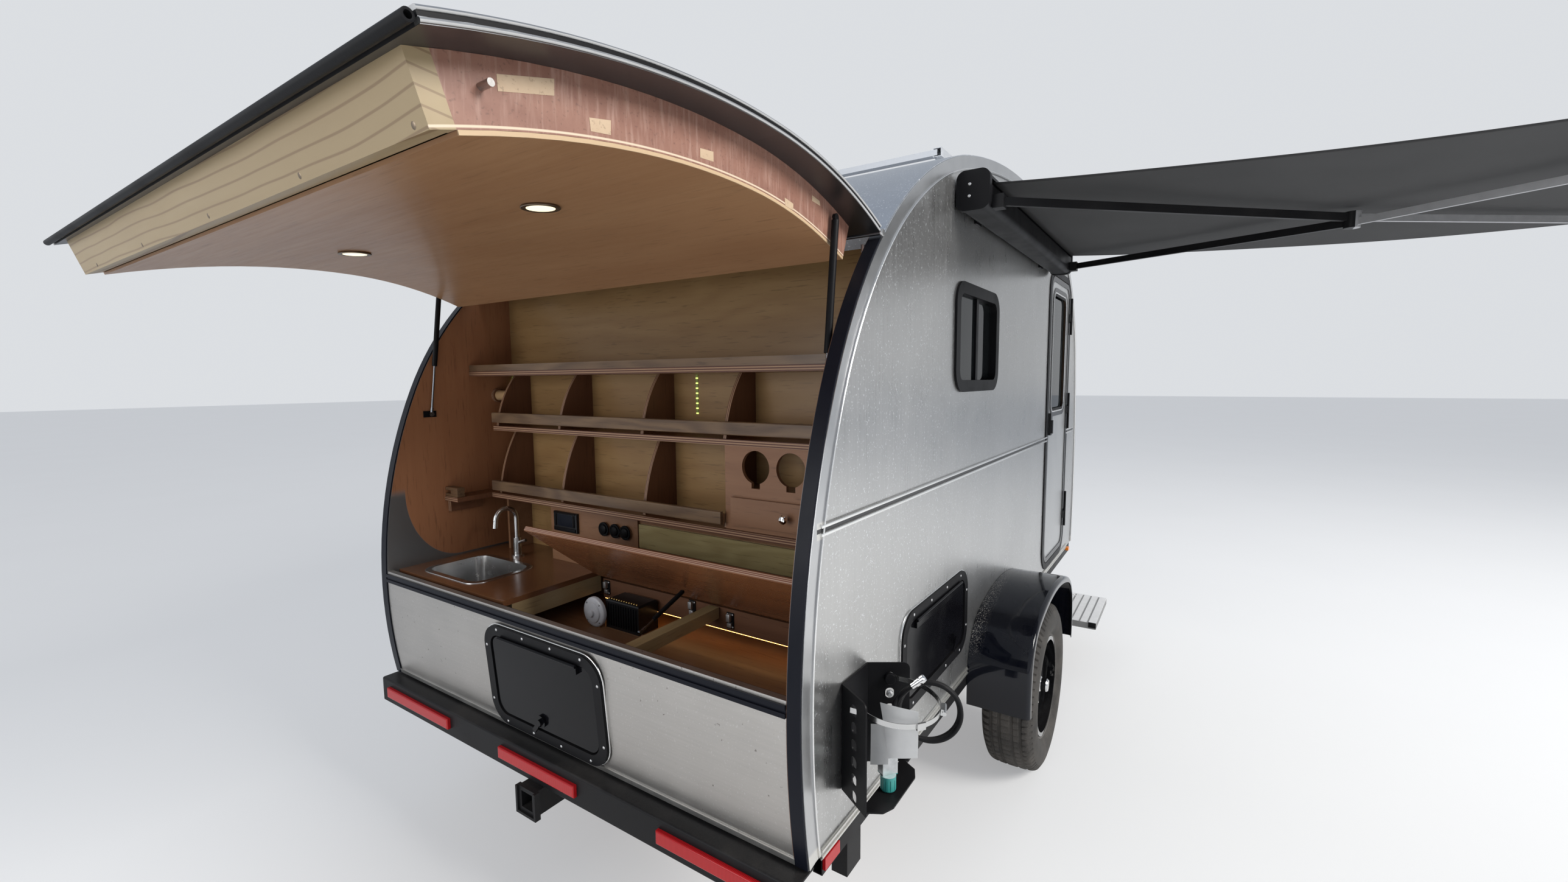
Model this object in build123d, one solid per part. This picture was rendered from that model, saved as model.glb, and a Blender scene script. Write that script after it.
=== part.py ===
"""A teardrop camping trailer with its galley hatch raised and its awning out.

Working frame, in millimetres: X forward from the foot of the rear panel, Y to the left, Z up from
the lower edge of the body. The last lines move every piece so that the origin lies on the ground,
under the middle of the whole trailer.
"""
import os
from math import cos, degrees, hypot, radians, sin, tan
from build123d import *

os.makedirs("parts", exist_ok=True)
UPWARD = (Align.CENTER, Align.CENTER, Align.MIN)

# Body shell
BODY_WIDTH = 1829.0
WALL = 38.0
GAP = 0.3
HALF = BODY_WIDTH / 2
INNER = HALF - WALL
SKIN = 3.0
FLOOR_TOP = 38.0
FLOOR_X = (30.0, 3380.0)
BULKHEAD_X = 512.0
BULKHEAD = 18.0
REAR_PANEL = 20.0

# Side outline from the foot of the rear panel, over the roof, to the foot of the nose
OUTLINE_START = (-3.0, 0.0)
OUTLINE_HEADING = 100.3
OUTLINE_ARCS = (
    # stretch, radius, turn in degrees
    ("rear panel", 1897.0, 12.1),
    ("hatch low", 1897.0, 20.7),
    ("hatch high", 1225.0, 21.5),
    ("roof rear", 1225.0, 11.4),
    ("roof middle", 1552.0, 20.0),
    ("crest", 3480.0, 28.5),
    ("brow", 836.0, 62.7),
    ("nose", 3535.0, 20.0),
)
REAR, HATCH_LOW, HATCH_HIGH, ROOF_REAR, ROOF_MIDDLE, CREST, BROW, NOSE = range(8)

# Bright mouldings
EDGE_WIDTH = 45.0
EDGE_BEAD = 7.0
BELT_X = (40.0, 3330.0)
BELT_Z = (750.0, 776.0)
BELT_GROOVE = (758.0, 768.0)
FOOT_Z = (-10.0, 19.0)
FOOT_RIBS = ((-6.0, 0.0), (9.0, 15.0))
FOOT_FRONT = 3240.0

# Hatch
HATCH_OPEN = 69.3
HATCH_RAISE = 13.0
HATCH_SKIN = 7.0
HATCH_DEPTH = 85.0
HATCH_LINER = 6.0
HATCH_LIP = 14.0
HATCH_TOP_GAP = 10.0
HINGE_RADIUS = 6.0
RIB_THICKNESS = 19.0
RIB_FACE = 848.0
RIB_FOOT = 60.0
RIB_SETBACK = 48.0
END_BOARD = 32.0
LATCH_PIN_REACH = 22.0
LATCH_PIN_TURN = 3.4
DOWNLIGHT_Y = 420.0
DOWNLIGHT_TURN = 15.5
DOWNLIGHT_RADIUS = 38.0

# Hatch struts: pivots with the hatch raised, in the side view
STRUT_Y = 862.0
STRUT_TOP = (214.0, 1469.0)
STRUT_FOOT = (154.0, 970.0)
HATCH_STRUT = (9.0, 4.0, 318.0, 9.0)  # tube radius, rod radius, tube length, eye radius
STRUT_EYE_WIDTH = 8.0
STRUT_OVERLAP = 60.0
STRUT_PLATE = 24.0
STUD_RADIUS = 6.0
STUD_TIP = STRUT_Y + 7

# Galley
COUNTER_TOP = 398.0
COUNTER_BACK = 400.0
COUNTER_FRONT = 8.0
COUNTER_RIGHT = 222.0
PLY = 18.0
SILL_TOP = 390.0
SILL_HEIGHT = 30.0
WELL_FLOOR = 250.0
WELL_X = 24.0
BRACE = ((20.0, 384.0), (-350.0, -310.0), (338.0, 374.0))
LID_HINGE_X = 391.0
LID_OPEN = 38.0
LID_LENGTH = 371.0
LID_THICKNESS = 18.0
LID_HINGE_Y = (160.0, -255.0, -660.0)
LID_HINGE = (4.0, 60.0)  # barrel radius and length
LID_STRUT_Y = -282.0
LID_STRUT_TOP_REACH = 105.0
LID_STRUT_DROP = 30.0
LID_STRUT_FOOT = (110.0, 372.0)
LID_STRUT = (7.0, 3.0, 132.0, 6.0)  # tube radius, rod radius, tube length, eye radius
SINK_X = (40.0, 302.0)
SINK_Y = (448.0, 801.0)
SINK_RIM = (3.0, 60.0)  # height and corner radius
SINK_BOWL = (226.0, 318.0, 45.0, 6.0)  # width, length, corner radius, taper in degrees
SINK_SHEET = 2.5
SINK_DEPTH = 140.0
TAP_BASE = (352.0, 656.0)
TAP_HEIGHT = 200.0
TAP_REACH = 88.0
TAP_RADIUS = 9.0
SHELVES = (
    # name, front edge X, top Z, left end Y
    ("top", 320.0, 1133.0, INNER),
    ("middle", 350.0, 916.0, 775.0),
    ("lower", 337.0, 645.0, INNER),
)
TOP, MIDDLE, LOWER = range(3)
SIDE_SHELF_X = 193.0
SIDE_SHELF_WIDTH = 90.0
TOWEL_ROD = (440.0, 1035.0, 20.0)  # X, Z, radius
DIVIDER_Y = (757.0, 372.0, -55.0, -405.0)
DIVIDER_THICKNESS = 12.0
DIVIDER_SWEEP_BACK = 85.0
FIDDLE_HEIGHT = 40.0
FIDDLE_THICKNESS = 12.0
FIDDLE_RISE = 14.0
CABINET_FRONT = 350.0
CABINET_BOARD = 12.0
KEYHOLE_Y = (-524.0, -646.0, -768.0)
KEYHOLE_Z = 838.0
KEYHOLE_RADIUS = 49.0
KEYHOLE_NECK = (15.0, 14.0)  # half width, drop below the round hole
DRAWER_Y = (-845.0, -440.0)
DRAWER_Z = (663.0, 745.0)
DRAWER_DEPTH = 140.0
DRAWER_BOARD = 8.0
PANEL_X = 405.0
PANEL_LEFT = 505.0
POST_Y = 26.0
END_PANEL_Y = (782.0, 794.0)
APRON_BOTTOM = 303.0
FLAP_Z = (514.0, 596.0)
CONTROLLER = ((340.0, 476.0), (518.0, 594.0))  # Y, Z
SOCKET_Y = (193.0, 135.0, 82.0)
SOCKET_Z = 556.0
SOCKET_RADIUS = 24.0
COVER_DISC = (280.0, 109.0, 302.0, 50.0)  # X, Y, Z, radius
SUPPLY_BOX = ((292.0, 380.0), (-84.0, 74.0), 100.0)  # X, Y, height

# Openings in the side walls: low X, high X, low Z, high Z, corner radius
WINDOW = (930.0, 1450.0, 1046.0, 1416.0, 75.0)
DOOR = (2490.0, 3062.0, 54.0, 1642.0, 95.0)
DOOR_WINDOW = (2575.0, 2965.0, 900.0, 1560.0, 60.0)
SIDE_HATCH = (505.0, 1110.0, 115.0, 414.0, 80.0)
REAR_HATCH_SIZE = (536.0, 330.0, 75.0)
REAR_HATCH_Y = -20.0
REAR_HATCH_TURN = 5.6
FRAME_WIDTH = 32.0
FRAME_STEP = 8.0
SLIDER_BAR = 24.0
DOOR_GAP = 5.0
DOOR_RING = 34.0
DOOR_BORDER = 26.0
DOOR_HINGE_Z = (250.0, 900.0, 1450.0)
DOOR_HINGE = (6.0, 50.0)  # barrel radius and length
HANDLE_Z = (780.0, 900.0)
HINGE_OUT = 14.0
ACCESS_HINGE = (5.0, 420.0, 360.0)  # barrel radius, length on the side door and on the rear door

# Running gear
WHEEL_X = 1600.0
WHEEL_Z = -195.0
WHEEL_Y = 1030.0
TYRE_RADIUS = 342.0
TYRE_WIDTH = 205.0
TYRE_BULGE = 262.0
RIM_RADIUS = 190.5
GROUND = WHEEL_Z - TYRE_RADIUS
RIM_OUTSIDE = (
    # radius, distance outward from the wheel's middle plane
    (203.0, -85.0), (203.0, -80.0), (192.0, -78.0), (192.0, -54.0), (170.0, -42.0),
    (170.0, 18.0), (192.0, 32.0), (192.0, 78.0), (203.0, 80.0), (203.0, 85.0),
)
RIM_INSIDE = (
    (188.0, 85.0), (188.0, 35.0), (166.0, 21.0), (166.0, -45.0), (188.0, -57.0), (188.0, -85.0),
)
DISC_FACE = (
    (167.0, 8.0), (152.0, 10.0), (134.0, 24.0), (118.0, 36.0), (102.0, 38.0),
    (92.0, 28.0), (80.0, 27.0), (74.0, 31.0), (33.0, 31.0),
)
DISC_SHEET = 6.0
HUB_PROFILE = (
    (0.0, 16.0), (33.5, 16.0), (33.5, 60.0), (30.0, 64.0),
    (27.0, 66.0), (27.0, 86.0), (23.0, 92.0), (0.0, 94.0),
)
VENTS = (8, 143.0, 13.0)  # count, circle radius, hole radius
LUGS = (5, 57.15, 11.0, 17.0)  # count, circle radius, nut radius, nut height
FENDER_OUTER = 1143.0
FENDER_BOTTOM = -130.0
FENDER_REAR = 1147.0
FENDER_SHEET = 3.0
FENDER_LIP = 26.0
FENDER_ROLL = 16.0
FENDER_FLANGE = 20.0
FENDER_FRONT = 2 * WHEEL_X - FENDER_REAR
FENDER_ARCS = (
    # stretch, radius, turn in degrees
    ("rear face", 700.0, 14.0),
    ("rear shoulder", 195.0, 63.0),
    ("top", 1008.0, 36.0),
    ("front shoulder", 195.0, 63.0),
    ("front face", 700.0, 14.0),
)
AXLE_OFFSET = 152.0
AXLE_TUBE = (60.0, 6.0)
ARM_Y = 826.0

# Frame, tongue and jack
RAIL_Y = 700.0
RAIL_WIDTH = 50.8
RAIL_HEIGHT = 76.2
RAIL_WALL = 4.8
RAIL_Z = (-84.0, -7.8)
RAIL_MIDDLE = (RAIL_Z[0] + RAIL_Z[1]) / 2
RAIL_X = (20.0, 3420.0)
CROSS_MEMBER_X = (46.0, 900.0, 1752.0, 2600.0, 3394.0)
SILL_TUBE = (25.0, 50.0, 2.5)  # width, height, wall
SILL_TUBE_Y = HALF - 14.5
SILL_TUBE_Z = -33.6
SILL_TUBE_X = (60.0, 3380.0)
OUTRIGGER_X = (110.0, 900.0, 1690.0, 2500.0, 3340.0)
CORNER_STAY = ((200.0, 275.0), (860.0, 905.0), (-165.0, -58.0), 5.0)  # X, Y, Z, sheet
TONGUE_ROOT_X = 2980.0
TONGUE_TIP_X = 4470.0
TONGUE_TIP_Y = 58.0
COUPLER_BALL_X = 4560.0
BALL_RADIUS = 25.4
JACK_X = 4270.0
JACK_TUBE = (29.0, 24.5, 560.0)  # outer radius, inner radius, length
JACK_LEG = (22.0, 466.0)
JACK_DROP = 250.0

# Rear bumper, lamps and steps
BUMPER_X = (-58.0, 18.0)
BUMPER_Z = (-96.0, -6.0)
BUMPER_SHEET = 5.0
RECEIVER_X = (-88.0, 160.0)
RECEIVER_Z = -134.0
RECEIVER = (38.0, 25.4)  # half width outside and inside
LAMP_SPANS = ((455.0, 862.0), (-190.0, 168.0), (-862.0, -505.0))
LAMP_Z = (-66.0, -30.0)
REFLECTOR = ((61.0, 132.0), (-43.0, -13.0))
MARKER = ((3248.0, 3284.0), (-30.0, -11.0))
STEP_X = (2572.0, 3047.0)
STEP_DEPTH = (976.0, 1185.0)
STEP_TOP = -240.0
STEP_SHEET = 5.0
STEP_ARM_INSET = 40.0

# Awning
AWNING_X = (905.0, 2430.0)
AWNING_Y = (-1022.0, -922.0)
AWNING_Z = (1620.0, 1738.0)
AWNING_CAP = 22.0
AWNING_REACH = 1960.0
AWNING_EDGE_Z = 1622.0
AWNING_SAG = 30.0
AWNING_SLOT = 34.0
KNUCKLE = (1668.0, -1985.0, 1606.0)

# Roof rack
RACK_X = (1634.0, 2680.0)
RACK_Y = 590.0
RACK_Z = 2075.0
RACK_TUBE = 38.0

# Gas bottle bracket: a folded V on the right wall, seen from above, with its middle at GAS_X
GAS_X = 217.5
GAS_WALL_Y = -HALF - 2.8
GAS_BACK = 67.5
GAS_WING = (0.54, -0.84)
GAS_LENGTH = 108.0
GAS_SHEET = 4.0
GAS_Z = (106.0, 372.0)
GAS_CORNER = 16.0
GAS_SLOT = (22.0, 28.0, 10.0, 42.0)  # width, height, corner radius and spacing
GAS_SLOT_TOP = 333.0
GAS_SLOT_AT = 57.0
GAS_SLOTS = 6
GAS_TRAY = ((114, -990), (119, -998), (108, -1016), (96, -1037), (66, -1050))

# Strap, regulator, coil and hose in the bracket
STRAP_CENTRE = (217.5, -1027.0, 331.0)
STRAP_NORMAL = (-0.03, -0.08, 1.0)
STRAP_RADIUS = 101.0
STRAP_REACH = 20.0
STRAP_BAND = (1.5, 13.0)
STRAP_TAIL = (100.5, 72.0)
BUCKLE_AT = 234.0
CLAMP_AT = 288.0
BELL_CENTRE = (215.0, -1005.0, 216.0)
BELL_AXIS = (-0.6, -0.8, 0.0)
BELL_PROFILE = (
    (0, -17), (20, -17), (24, -13), (24, -5), (33, -4), (33, 4), (27, 6), (22, 12), (9, 16), (0, 16),
)
INLET_FOOT = (216.0, -1004.5, 236.0)
INLET_TIP = (231.0, -1003.0, 255.0)
HOSE_RADIUS = 5.5
COIL_CENTRE = (300.0, -1078.0, 279.0)
COIL_ACROSS = (0.363, -0.932, 0.0)
COIL_RADIUS = 75.0
COIL_SECTION = 15.0
COIL_EXIT = 120.0
HOSE_RUN = 0.27
HOSE_BOW = (0.0, 6.0, 2.0)


class ArcChain:
    """Tangent arcs in the XZ plane that turn clockwise, so that every centre lies inside."""

    def __init__(self, start, heading, rows):
        self.arcs = []
        x, z = start
        for _, radius, turn in rows:
            angle = radians(heading)
            centre_x = x + radius * sin(angle)
            centre_z = z - radius * cos(angle)
            self.arcs.append((centre_x, centre_z, radius, heading, turn))
            heading -= turn
            x = centre_x - radius * sin(radians(heading))
            z = centre_z + radius * cos(radians(heading))
        self.end = (x, z)

    def point(self, index, turn, inset=0.0):
        """A point on one arc, so many degrees from its start and so far inside it."""
        centre_x, centre_z, radius, heading, _ = self.arcs[index]
        angle = radians(heading - turn)
        return (centre_x - (radius - inset) * sin(angle), centre_z + (radius - inset) * cos(angle))

    def normal(self, index, turn):
        """The outward direction there."""
        angle = radians(self.arcs[index][3] - turn)
        return (-sin(angle), cos(angle))

    def height(self, index, x):
        """The height of one arc's upper side at that X."""
        centre_x, centre_z, radius, _, _ = self.arcs[index]
        return centre_z + (radius ** 2 - (x - centre_x) ** 2) ** 0.5

    def length(self, index):
        """The length of one arc."""
        return self.arcs[index][2] * radians(self.arcs[index][4])

    def edges(self, first, last, inset=0.0, trim=(0.0, 0.0)):
        """The arcs from first to last at that inset, shortened by lengths at both ends."""
        result = []
        for index in range(first, last + 1):
            radius, turn = self.arcs[index][2], self.arcs[index][4]
            low = degrees(trim[0] / radius) if index == first else 0.0
            high = turn - (degrees(trim[1] / radius) if index == last else 0.0)
            ends = [self.point(index, at, inset) for at in (low, (low + high) / 2, high)]
            result.append(ThreePointArc(*ends))
        return result

    def band(self, first, last, outer, inner, trim=(0.0, 0.0)):
        """The face between two insets of the same stretch."""
        top = self.edges(first, last, outer, trim)
        low = self.edges(first, last, inner, trim)
        ends = [Line(top[0] @ 0, low[0] @ 0), Line(top[-1] @ 1, low[-1] @ 1)]
        return make_face(top + low + ends)

    def area(self, first, last, inset=0.0, drop=0.0):
        """The face below that stretch, closed by a straight line that may lie lower than its ends."""
        edges = self.edges(first, last, inset)
        start, stop = edges[0] @ 0, edges[-1] @ 1
        if not drop:
            return make_face(edges + [Line(stop, start)])
        down = Vector(0, -drop)
        return make_face(edges + Polyline(stop, stop + down, start + down, start).edges())


BODY = ArcChain(OUTLINE_START, OUTLINE_HEADING, OUTLINE_ARCS)
FENDER = ArcChain((FENDER_REAR, FENDER_BOTTOM), 95.0, FENDER_ARCS)
HINGE = BODY.point(ROOF_REAR, 0.0, -HATCH_RAISE + HATCH_SKIN / 2)
SIDES = (("right", -1), ("left", 1))


def block(x, y, z):
    """A box from three pairs of limits."""
    size = [high - low for low, high in (x, y, z)]
    middle = [(low + high) / 2 for low, high in (x, y, z)]
    return Pos(*middle) * Box(*size)


def side_block(sign, x, depth, z):
    """A box whose distance from the centre line lies between two depths, on one side."""
    return block(x, tuple(sorted((sign * depth[0], sign * depth[1]))), z)


def slab(face, y0, y1):
    """A face drawn in the side view, given thickness from y0 to y1."""
    return extrude(Pos(0, y0, 0) * (Plane.XZ * face), amount=y1 - y0, dir=(0, 1, 0))


def side_slab(sign, face, depth0, depth1):
    """The same, between two distances from the centre line, on one side."""
    low, high = sorted((sign * depth0, sign * depth1))
    return slab(face, low, high)


def rounded(x0, x1, z0, z1, radius, grow=0.0):
    """A rounded rectangle in the side view, grown by a margin."""
    face = RectangleRounded(x1 - x0 + 2 * grow, z1 - z0 + 2 * grow, radius + grow)
    return Pos((x0 + x1) / 2, (z0 + z1) / 2) * face


def disc(x, y, z, radius, height):
    """A round piece that stands up from a point."""
    return Pos(x, y, z) * Cylinder(radius, height, align=UPWARD)


def rod(start, stop, radius):
    """A round bar between two points."""
    axis = Vector(*stop) - Vector(*start)
    return Plane(origin=start, z_dir=axis) * Cylinder(radius, axis.length, align=UPWARD)


def square_bar(start, stop, width, height, wall=0.0):
    """A rectangular bar or tube between two points, its height upright."""
    axis = Vector(*stop) - Vector(*start)
    side = axis.cross(Vector(0, 0, 1))
    plane = Plane(origin=start, x_dir=side, z_dir=axis)
    section = Rectangle(width, height)
    if wall:
        section -= Rectangle(width - 2 * wall, height - 2 * wall)
    return extrude(plane * section, amount=axis.length, dir=axis)


def raised(shape):
    """A piece of the closed hatch, turned about the hinge to where it stands open."""
    pivot = Pos(HINGE[0], 0, HINGE[1])
    return pivot * Rot(0, HATCH_OPEN, 0) * pivot.inverse() * shape


def lifted(shape):
    """A piece of the closed counter lid, turned about its hinge to where it stands open."""
    pivot = Pos(LID_HINGE_X, 0, COUNTER_TOP)
    return pivot * Rot(0, LID_OPEN, 0) * pivot.inverse() * shape


def side_wall(name, sign):
    """A framed and skinned wall, whole to the outline, with its openings cut."""
    wall = side_slab(sign, BODY.area(REAR, NOSE), INNER, HALF)
    cuts = [rounded(*WINDOW, grow=-FRAME_WIDTH), rounded(*DOOR)]
    if name == "right":
        cuts.append(rounded(*SIDE_HATCH, grow=-FRAME_WIDTH / 2))
    for cut in cuts:
        wall -= side_slab(sign, cut, INNER - 1, HALF + 1)
    return wall


def roof_shell():
    """The roof from the hatch hinge to the foot of the nose, its skin lapped over both walls."""
    trim = (HATCH_LIP, 0.0)
    between = slab(BODY.band(ROOF_REAR, NOSE, -SKIN, WALL, trim), -INNER + GAP, INNER - GAP)
    lapped = slab(BODY.band(ROOF_REAR, NOSE, -SKIN, -GAP, trim), -HALF, HALF)
    return between + lapped


def cabin_floor():
    """The floor board between the walls, from the rear panel to the nose."""
    return block(FLOOR_X, (-INNER + GAP, INNER - GAP), (0, FLOOR_TOP))


def bulkhead():
    """The ply wall between the cabin and the galley, up to the roof."""
    x = (BULKHEAD_X, BULKHEAD_X + BULKHEAD)
    board = block(x, (-INNER + GAP, INNER - GAP), (FLOOR_TOP, BODY.end[0]))
    return board & slab(BODY.area(REAR, NOSE, WALL + GAP), -HALF, HALF)


def rear_hatch_plane():
    """The plane of the access door in the rear panel, its Z outward and its X to the right."""
    x, z = BODY.point(REAR, REAR_HATCH_TURN)
    nx, nz = BODY.normal(REAR, REAR_HATCH_TURN)
    return Plane(origin=(x, REAR_HATCH_Y, z), x_dir=(0, -1, 0), z_dir=(nx, 0, nz))


def rear_hatch_prism(inset, low, high):
    """A rounded plate in that plane, inset from the frame's edge, between two heights above it."""
    width, height, radius = REAR_HATCH_SIZE
    face = RectangleRounded(width - 2 * inset, height - 2 * inset, radius - inset)
    plane = rear_hatch_plane()
    return extrude(plane * Pos(0, 0, low) * face, amount=high - low, dir=plane.z_dir)


def rear_panel():
    """The curved panel below the galley opening, cut for its access door."""
    panel = slab(BODY.band(REAR, REAR, 0, REAR_PANEL), -INNER + GAP, INNER - GAP)
    return panel - rear_hatch_prism(FRAME_WIDTH / 2, -60, 60)


def hatch_seal():
    """The black trim on the walls' rear edges and the sill of the galley opening."""
    result = []
    for _, sign in SIDES:
        edge = BODY.band(REAR, HATCH_HIGH, -4, -GAP, (0, 16))
        result.append(side_slab(sign, edge, INNER + 4, HALF))
    x, _ = BODY.point(HATCH_LOW, 0)
    sill = block((x - 6, x + 34), (-INNER + GAP, INNER - GAP), (SILL_TOP - SILL_HEIGHT, SILL_TOP))
    groove = block((x - 8, x - 2), (-HALF, HALF), (SILL_TOP - 19, SILL_TOP - 11))
    result.append(sill - groove - slab(BODY.band(REAR, REAR, -GAP, REAR_PANEL + GAP), -HALF, HALF))
    return result


def body_trims():
    """The bright mouldings: round each wall's edge, along its belt and its foot, and on the rear panel."""
    result = []
    for _, sign in SIDES:
        flange = side_slab(sign, BODY.band(REAR, NOSE, 0, EDGE_WIDTH), HALF + GAP, HALF + 3)
        crest = BODY.band(REAR, NOSE, EDGE_WIDTH - EDGE_BEAD, EDGE_WIDTH)
        bead = side_slab(sign, crest, HALF + GAP, HALF + 6)
        belt = side_block(sign, BELT_X, (HALF + GAP, HALF + 5), BELT_Z)
        belt -= side_block(sign, (0, 2 * BELT_X[1]), (HALF + 3, HALF + 9), BELT_GROOVE)
        belt -= side_slab(sign, rounded(*DOOR, grow=DOOR_RING + 2), HALF - 5, HALF + 20)
        belt -= side_slab(sign, BODY.band(REAR, NOSE, -20, EDGE_WIDTH + 1), HALF - 1, HALF + 20)
        result.append(flange + bead + belt)
        for x in ((EDGE_WIDTH + 3, FENDER_REAR - 6), (FENDER_FRONT + 6, FOOT_FRONT)):
            foot = side_block(sign, x, (HALF + GAP, HALF + 3), FOOT_Z)
            for rib in FOOT_RIBS:
                foot += side_block(sign, x, (HALF + GAP, HALF + 6), rib)
            result.append(foot)
    foot_face = BODY.band(REAR, REAR, -4, -GAP, (2, BODY.length(REAR) - 17))
    result.append(slab(foot_face, -INNER - 4 + GAP, INNER + 4 - GAP))
    return result


def divider_face(lower, upper):
    """The outline of a divider between two shelves, its front edge swept back as it rises."""
    front = max(SHELVES[lower][1], SHELVES[upper][1]) + 8
    low, high = SHELVES[lower][2], SHELVES[upper][2] - PLY
    crown = (front + DIVIDER_SWEEP_BACK, high)
    edge = ThreePointArc((front, low), (front + DIVIDER_SWEEP_BACK * 0.3, (low + high) / 2), crown)
    back = Polyline(crown, (BULKHEAD_X - GAP, high), (BULKHEAD_X - GAP, low), (front, low))
    return make_face([edge] + back.edges())


def galley_shelves():
    """Three ply shelves with swept dividers, a side shelf on its cleat, and the rod for a towel roll."""
    shelves = None
    for _, front, top, left in SHELVES:
        board = block((front, BULKHEAD_X - GAP), (-INNER + GAP, left - GAP), (top - PLY, top))
        shelves = board if shelves is None else shelves + board
    for lower, upper in ((LOWER, MIDDLE), (MIDDLE, TOP)):
        face = divider_face(lower, upper)
        for y in DIVIDER_Y:
            shelves += slab(face, y - DIVIDER_THICKNESS / 2, y + DIVIDER_THICKNESS / 2)
    _, front, top, _ = SHELVES[LOWER]
    wall_y = INNER - GAP
    shelves += block((SIDE_SHELF_X, front), (wall_y - SIDE_SHELF_WIDTH, wall_y), (top - PLY, top))
    shelves += block((SIDE_SHELF_X + 12, front), (wall_y - 20, wall_y), (top - PLY - 44, top - PLY))
    x, z, radius = TOWEL_ROD
    shelves += rod((x, DIVIDER_Y[0], z), (x, wall_y, z), radius)
    shelves += rod((x, wall_y - 14, z), (x, wall_y, z), radius + 9)
    return shelves


def fiddle_rails():
    """The walnut rails in front of the shelves."""
    _, front, top, _ = SHELVES[TOP]
    rails = [block((front, front + 22), (-INNER + GAP, INNER - 4), (top + GAP, top + 25))]
    for shelf, right in ((MIDDLE, -INNER + GAP), (LOWER, DIVIDER_Y[3] - 6)):
        _, front, top, _ = SHELVES[shelf]
        x = (front - FIDDLE_THICKNESS - 1, front - 1)
        rail = block(x, (right, DIVIDER_Y[0] + 6), (top + FIDDLE_RISE, top + FIDDLE_RISE + FIDDLE_HEIGHT))
        rails.append(fillet(rail.edges().filter_by(Axis.Y).group_by(Axis.X)[0], 4))
    return rails


def galley_cabinet():
    """The bottle cabinet with three keyhole openings over a drawer's mouth."""
    low, high = SHELVES[LOWER][2] + GAP, SHELVES[MIDDLE][2] - PLY - GAP
    left = DIVIDER_Y[3] - DIVIDER_THICKNESS / 2 - 0.5
    front = block((CABINET_FRONT, CABINET_FRONT + CABINET_BOARD), (-INNER + GAP, left), (low, high))
    cut_x = (CABINET_FRONT - 20, CABINET_FRONT + 30)
    neck_width, neck_drop = KEYHOLE_NECK
    for y in KEYHOLE_Y:
        front -= Pos(CABINET_FRONT, y, KEYHOLE_Z) * Rot(0, 90, 0) * Cylinder(KEYHOLE_RADIUS, 60)
        foot = KEYHOLE_Z - KEYHOLE_RADIUS - neck_drop
        front -= block(cut_x, (y - neck_width, y + neck_width), (foot, KEYHOLE_Z))
    front -= block(cut_x, (DRAWER_Y[0] + 8, DRAWER_Y[1] - 8), (DRAWER_Z[0] + 4, DRAWER_Z[1] - 4))
    shelf_x = (CABINET_FRONT + CABINET_BOARD, BULKHEAD_X - GAP)
    return front + block(shelf_x, (-INNER + GAP, left), (DRAWER_Z[1] + 6, DRAWER_Z[1] + 14))


def drawer():
    """A small drawer with a front that laps the cabinet and a turned knob."""
    y0, y1 = DRAWER_Y
    z0, z1 = DRAWER_Z
    front = CABINET_FRONT - 1
    back = CABINET_FRONT + DRAWER_DEPTH
    face = block((front - 12, front), DRAWER_Y, DRAWER_Z)
    tray = block((front, back), (y0 + 14, y1 - 14), (z0 + 10, z1 - 12))
    hollow_y = (y0 + 14 + DRAWER_BOARD, y1 - 14 - DRAWER_BOARD)
    tray -= block((front + DRAWER_BOARD, back - DRAWER_BOARD), hollow_y, (z0 + 16, z1))
    profile = [(0, 0), (6, 0), (6, 14), (13, 20), (13, 26), (9, 31), (0, 32)]
    knob = revolve(make_face(Plane.XZ * Polyline(*profile, close=True)), Axis.Z, 360)
    middle = Pos(front - 12, (y0 + y1) / 2, (z0 + z1) / 2)
    return face + tray + middle * Rot(0, -90, 0) * knob


def galley_back():
    """The upright panel behind the counter, with its sockets, a controller and a pale flap."""
    right = -INNER + GAP
    high = SHELVES[LOWER][2] - PLY - GAP
    upright = (COUNTER_TOP + GAP, high)
    board = block((PANEL_X, PANEL_X + 12), (right, PANEL_LEFT), upright)
    post = block((PANEL_X - 10, PANEL_X), (POST_Y - 9, POST_Y + 9), upright)
    flap = block((PANEL_X - 9, PANEL_X), (right + 20, POST_Y - 14), FLAP_Z)
    controller = block((PANEL_X - 12, PANEL_X), *CONTROLLER)
    controller = fillet(controller.edges().group_by(Axis.X)[0], 4)
    result = board + post + flap + controller
    for y in SOCKET_Y:
        result += rod((PANEL_X + 1, y, SOCKET_Z), (PANEL_X - 10, y, SOCKET_Z), SOCKET_RADIUS)
    end = block((PANEL_X, BULKHEAD_X - GAP), END_PANEL_Y, upright)
    apron_z = (APRON_BOTTOM, COUNTER_TOP - LID_THICKNESS - 6)
    apron = block((LID_HINGE_X - 2, LID_HINGE_X + 10), (right, COUNTER_RIGHT - 26), apron_z)
    return [result, end, apron]


def sink_middle():
    """Where the sink stands on the counter."""
    return Pos(sum(SINK_X) / 2, sum(SINK_Y) / 2, COUNTER_TOP)


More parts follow.
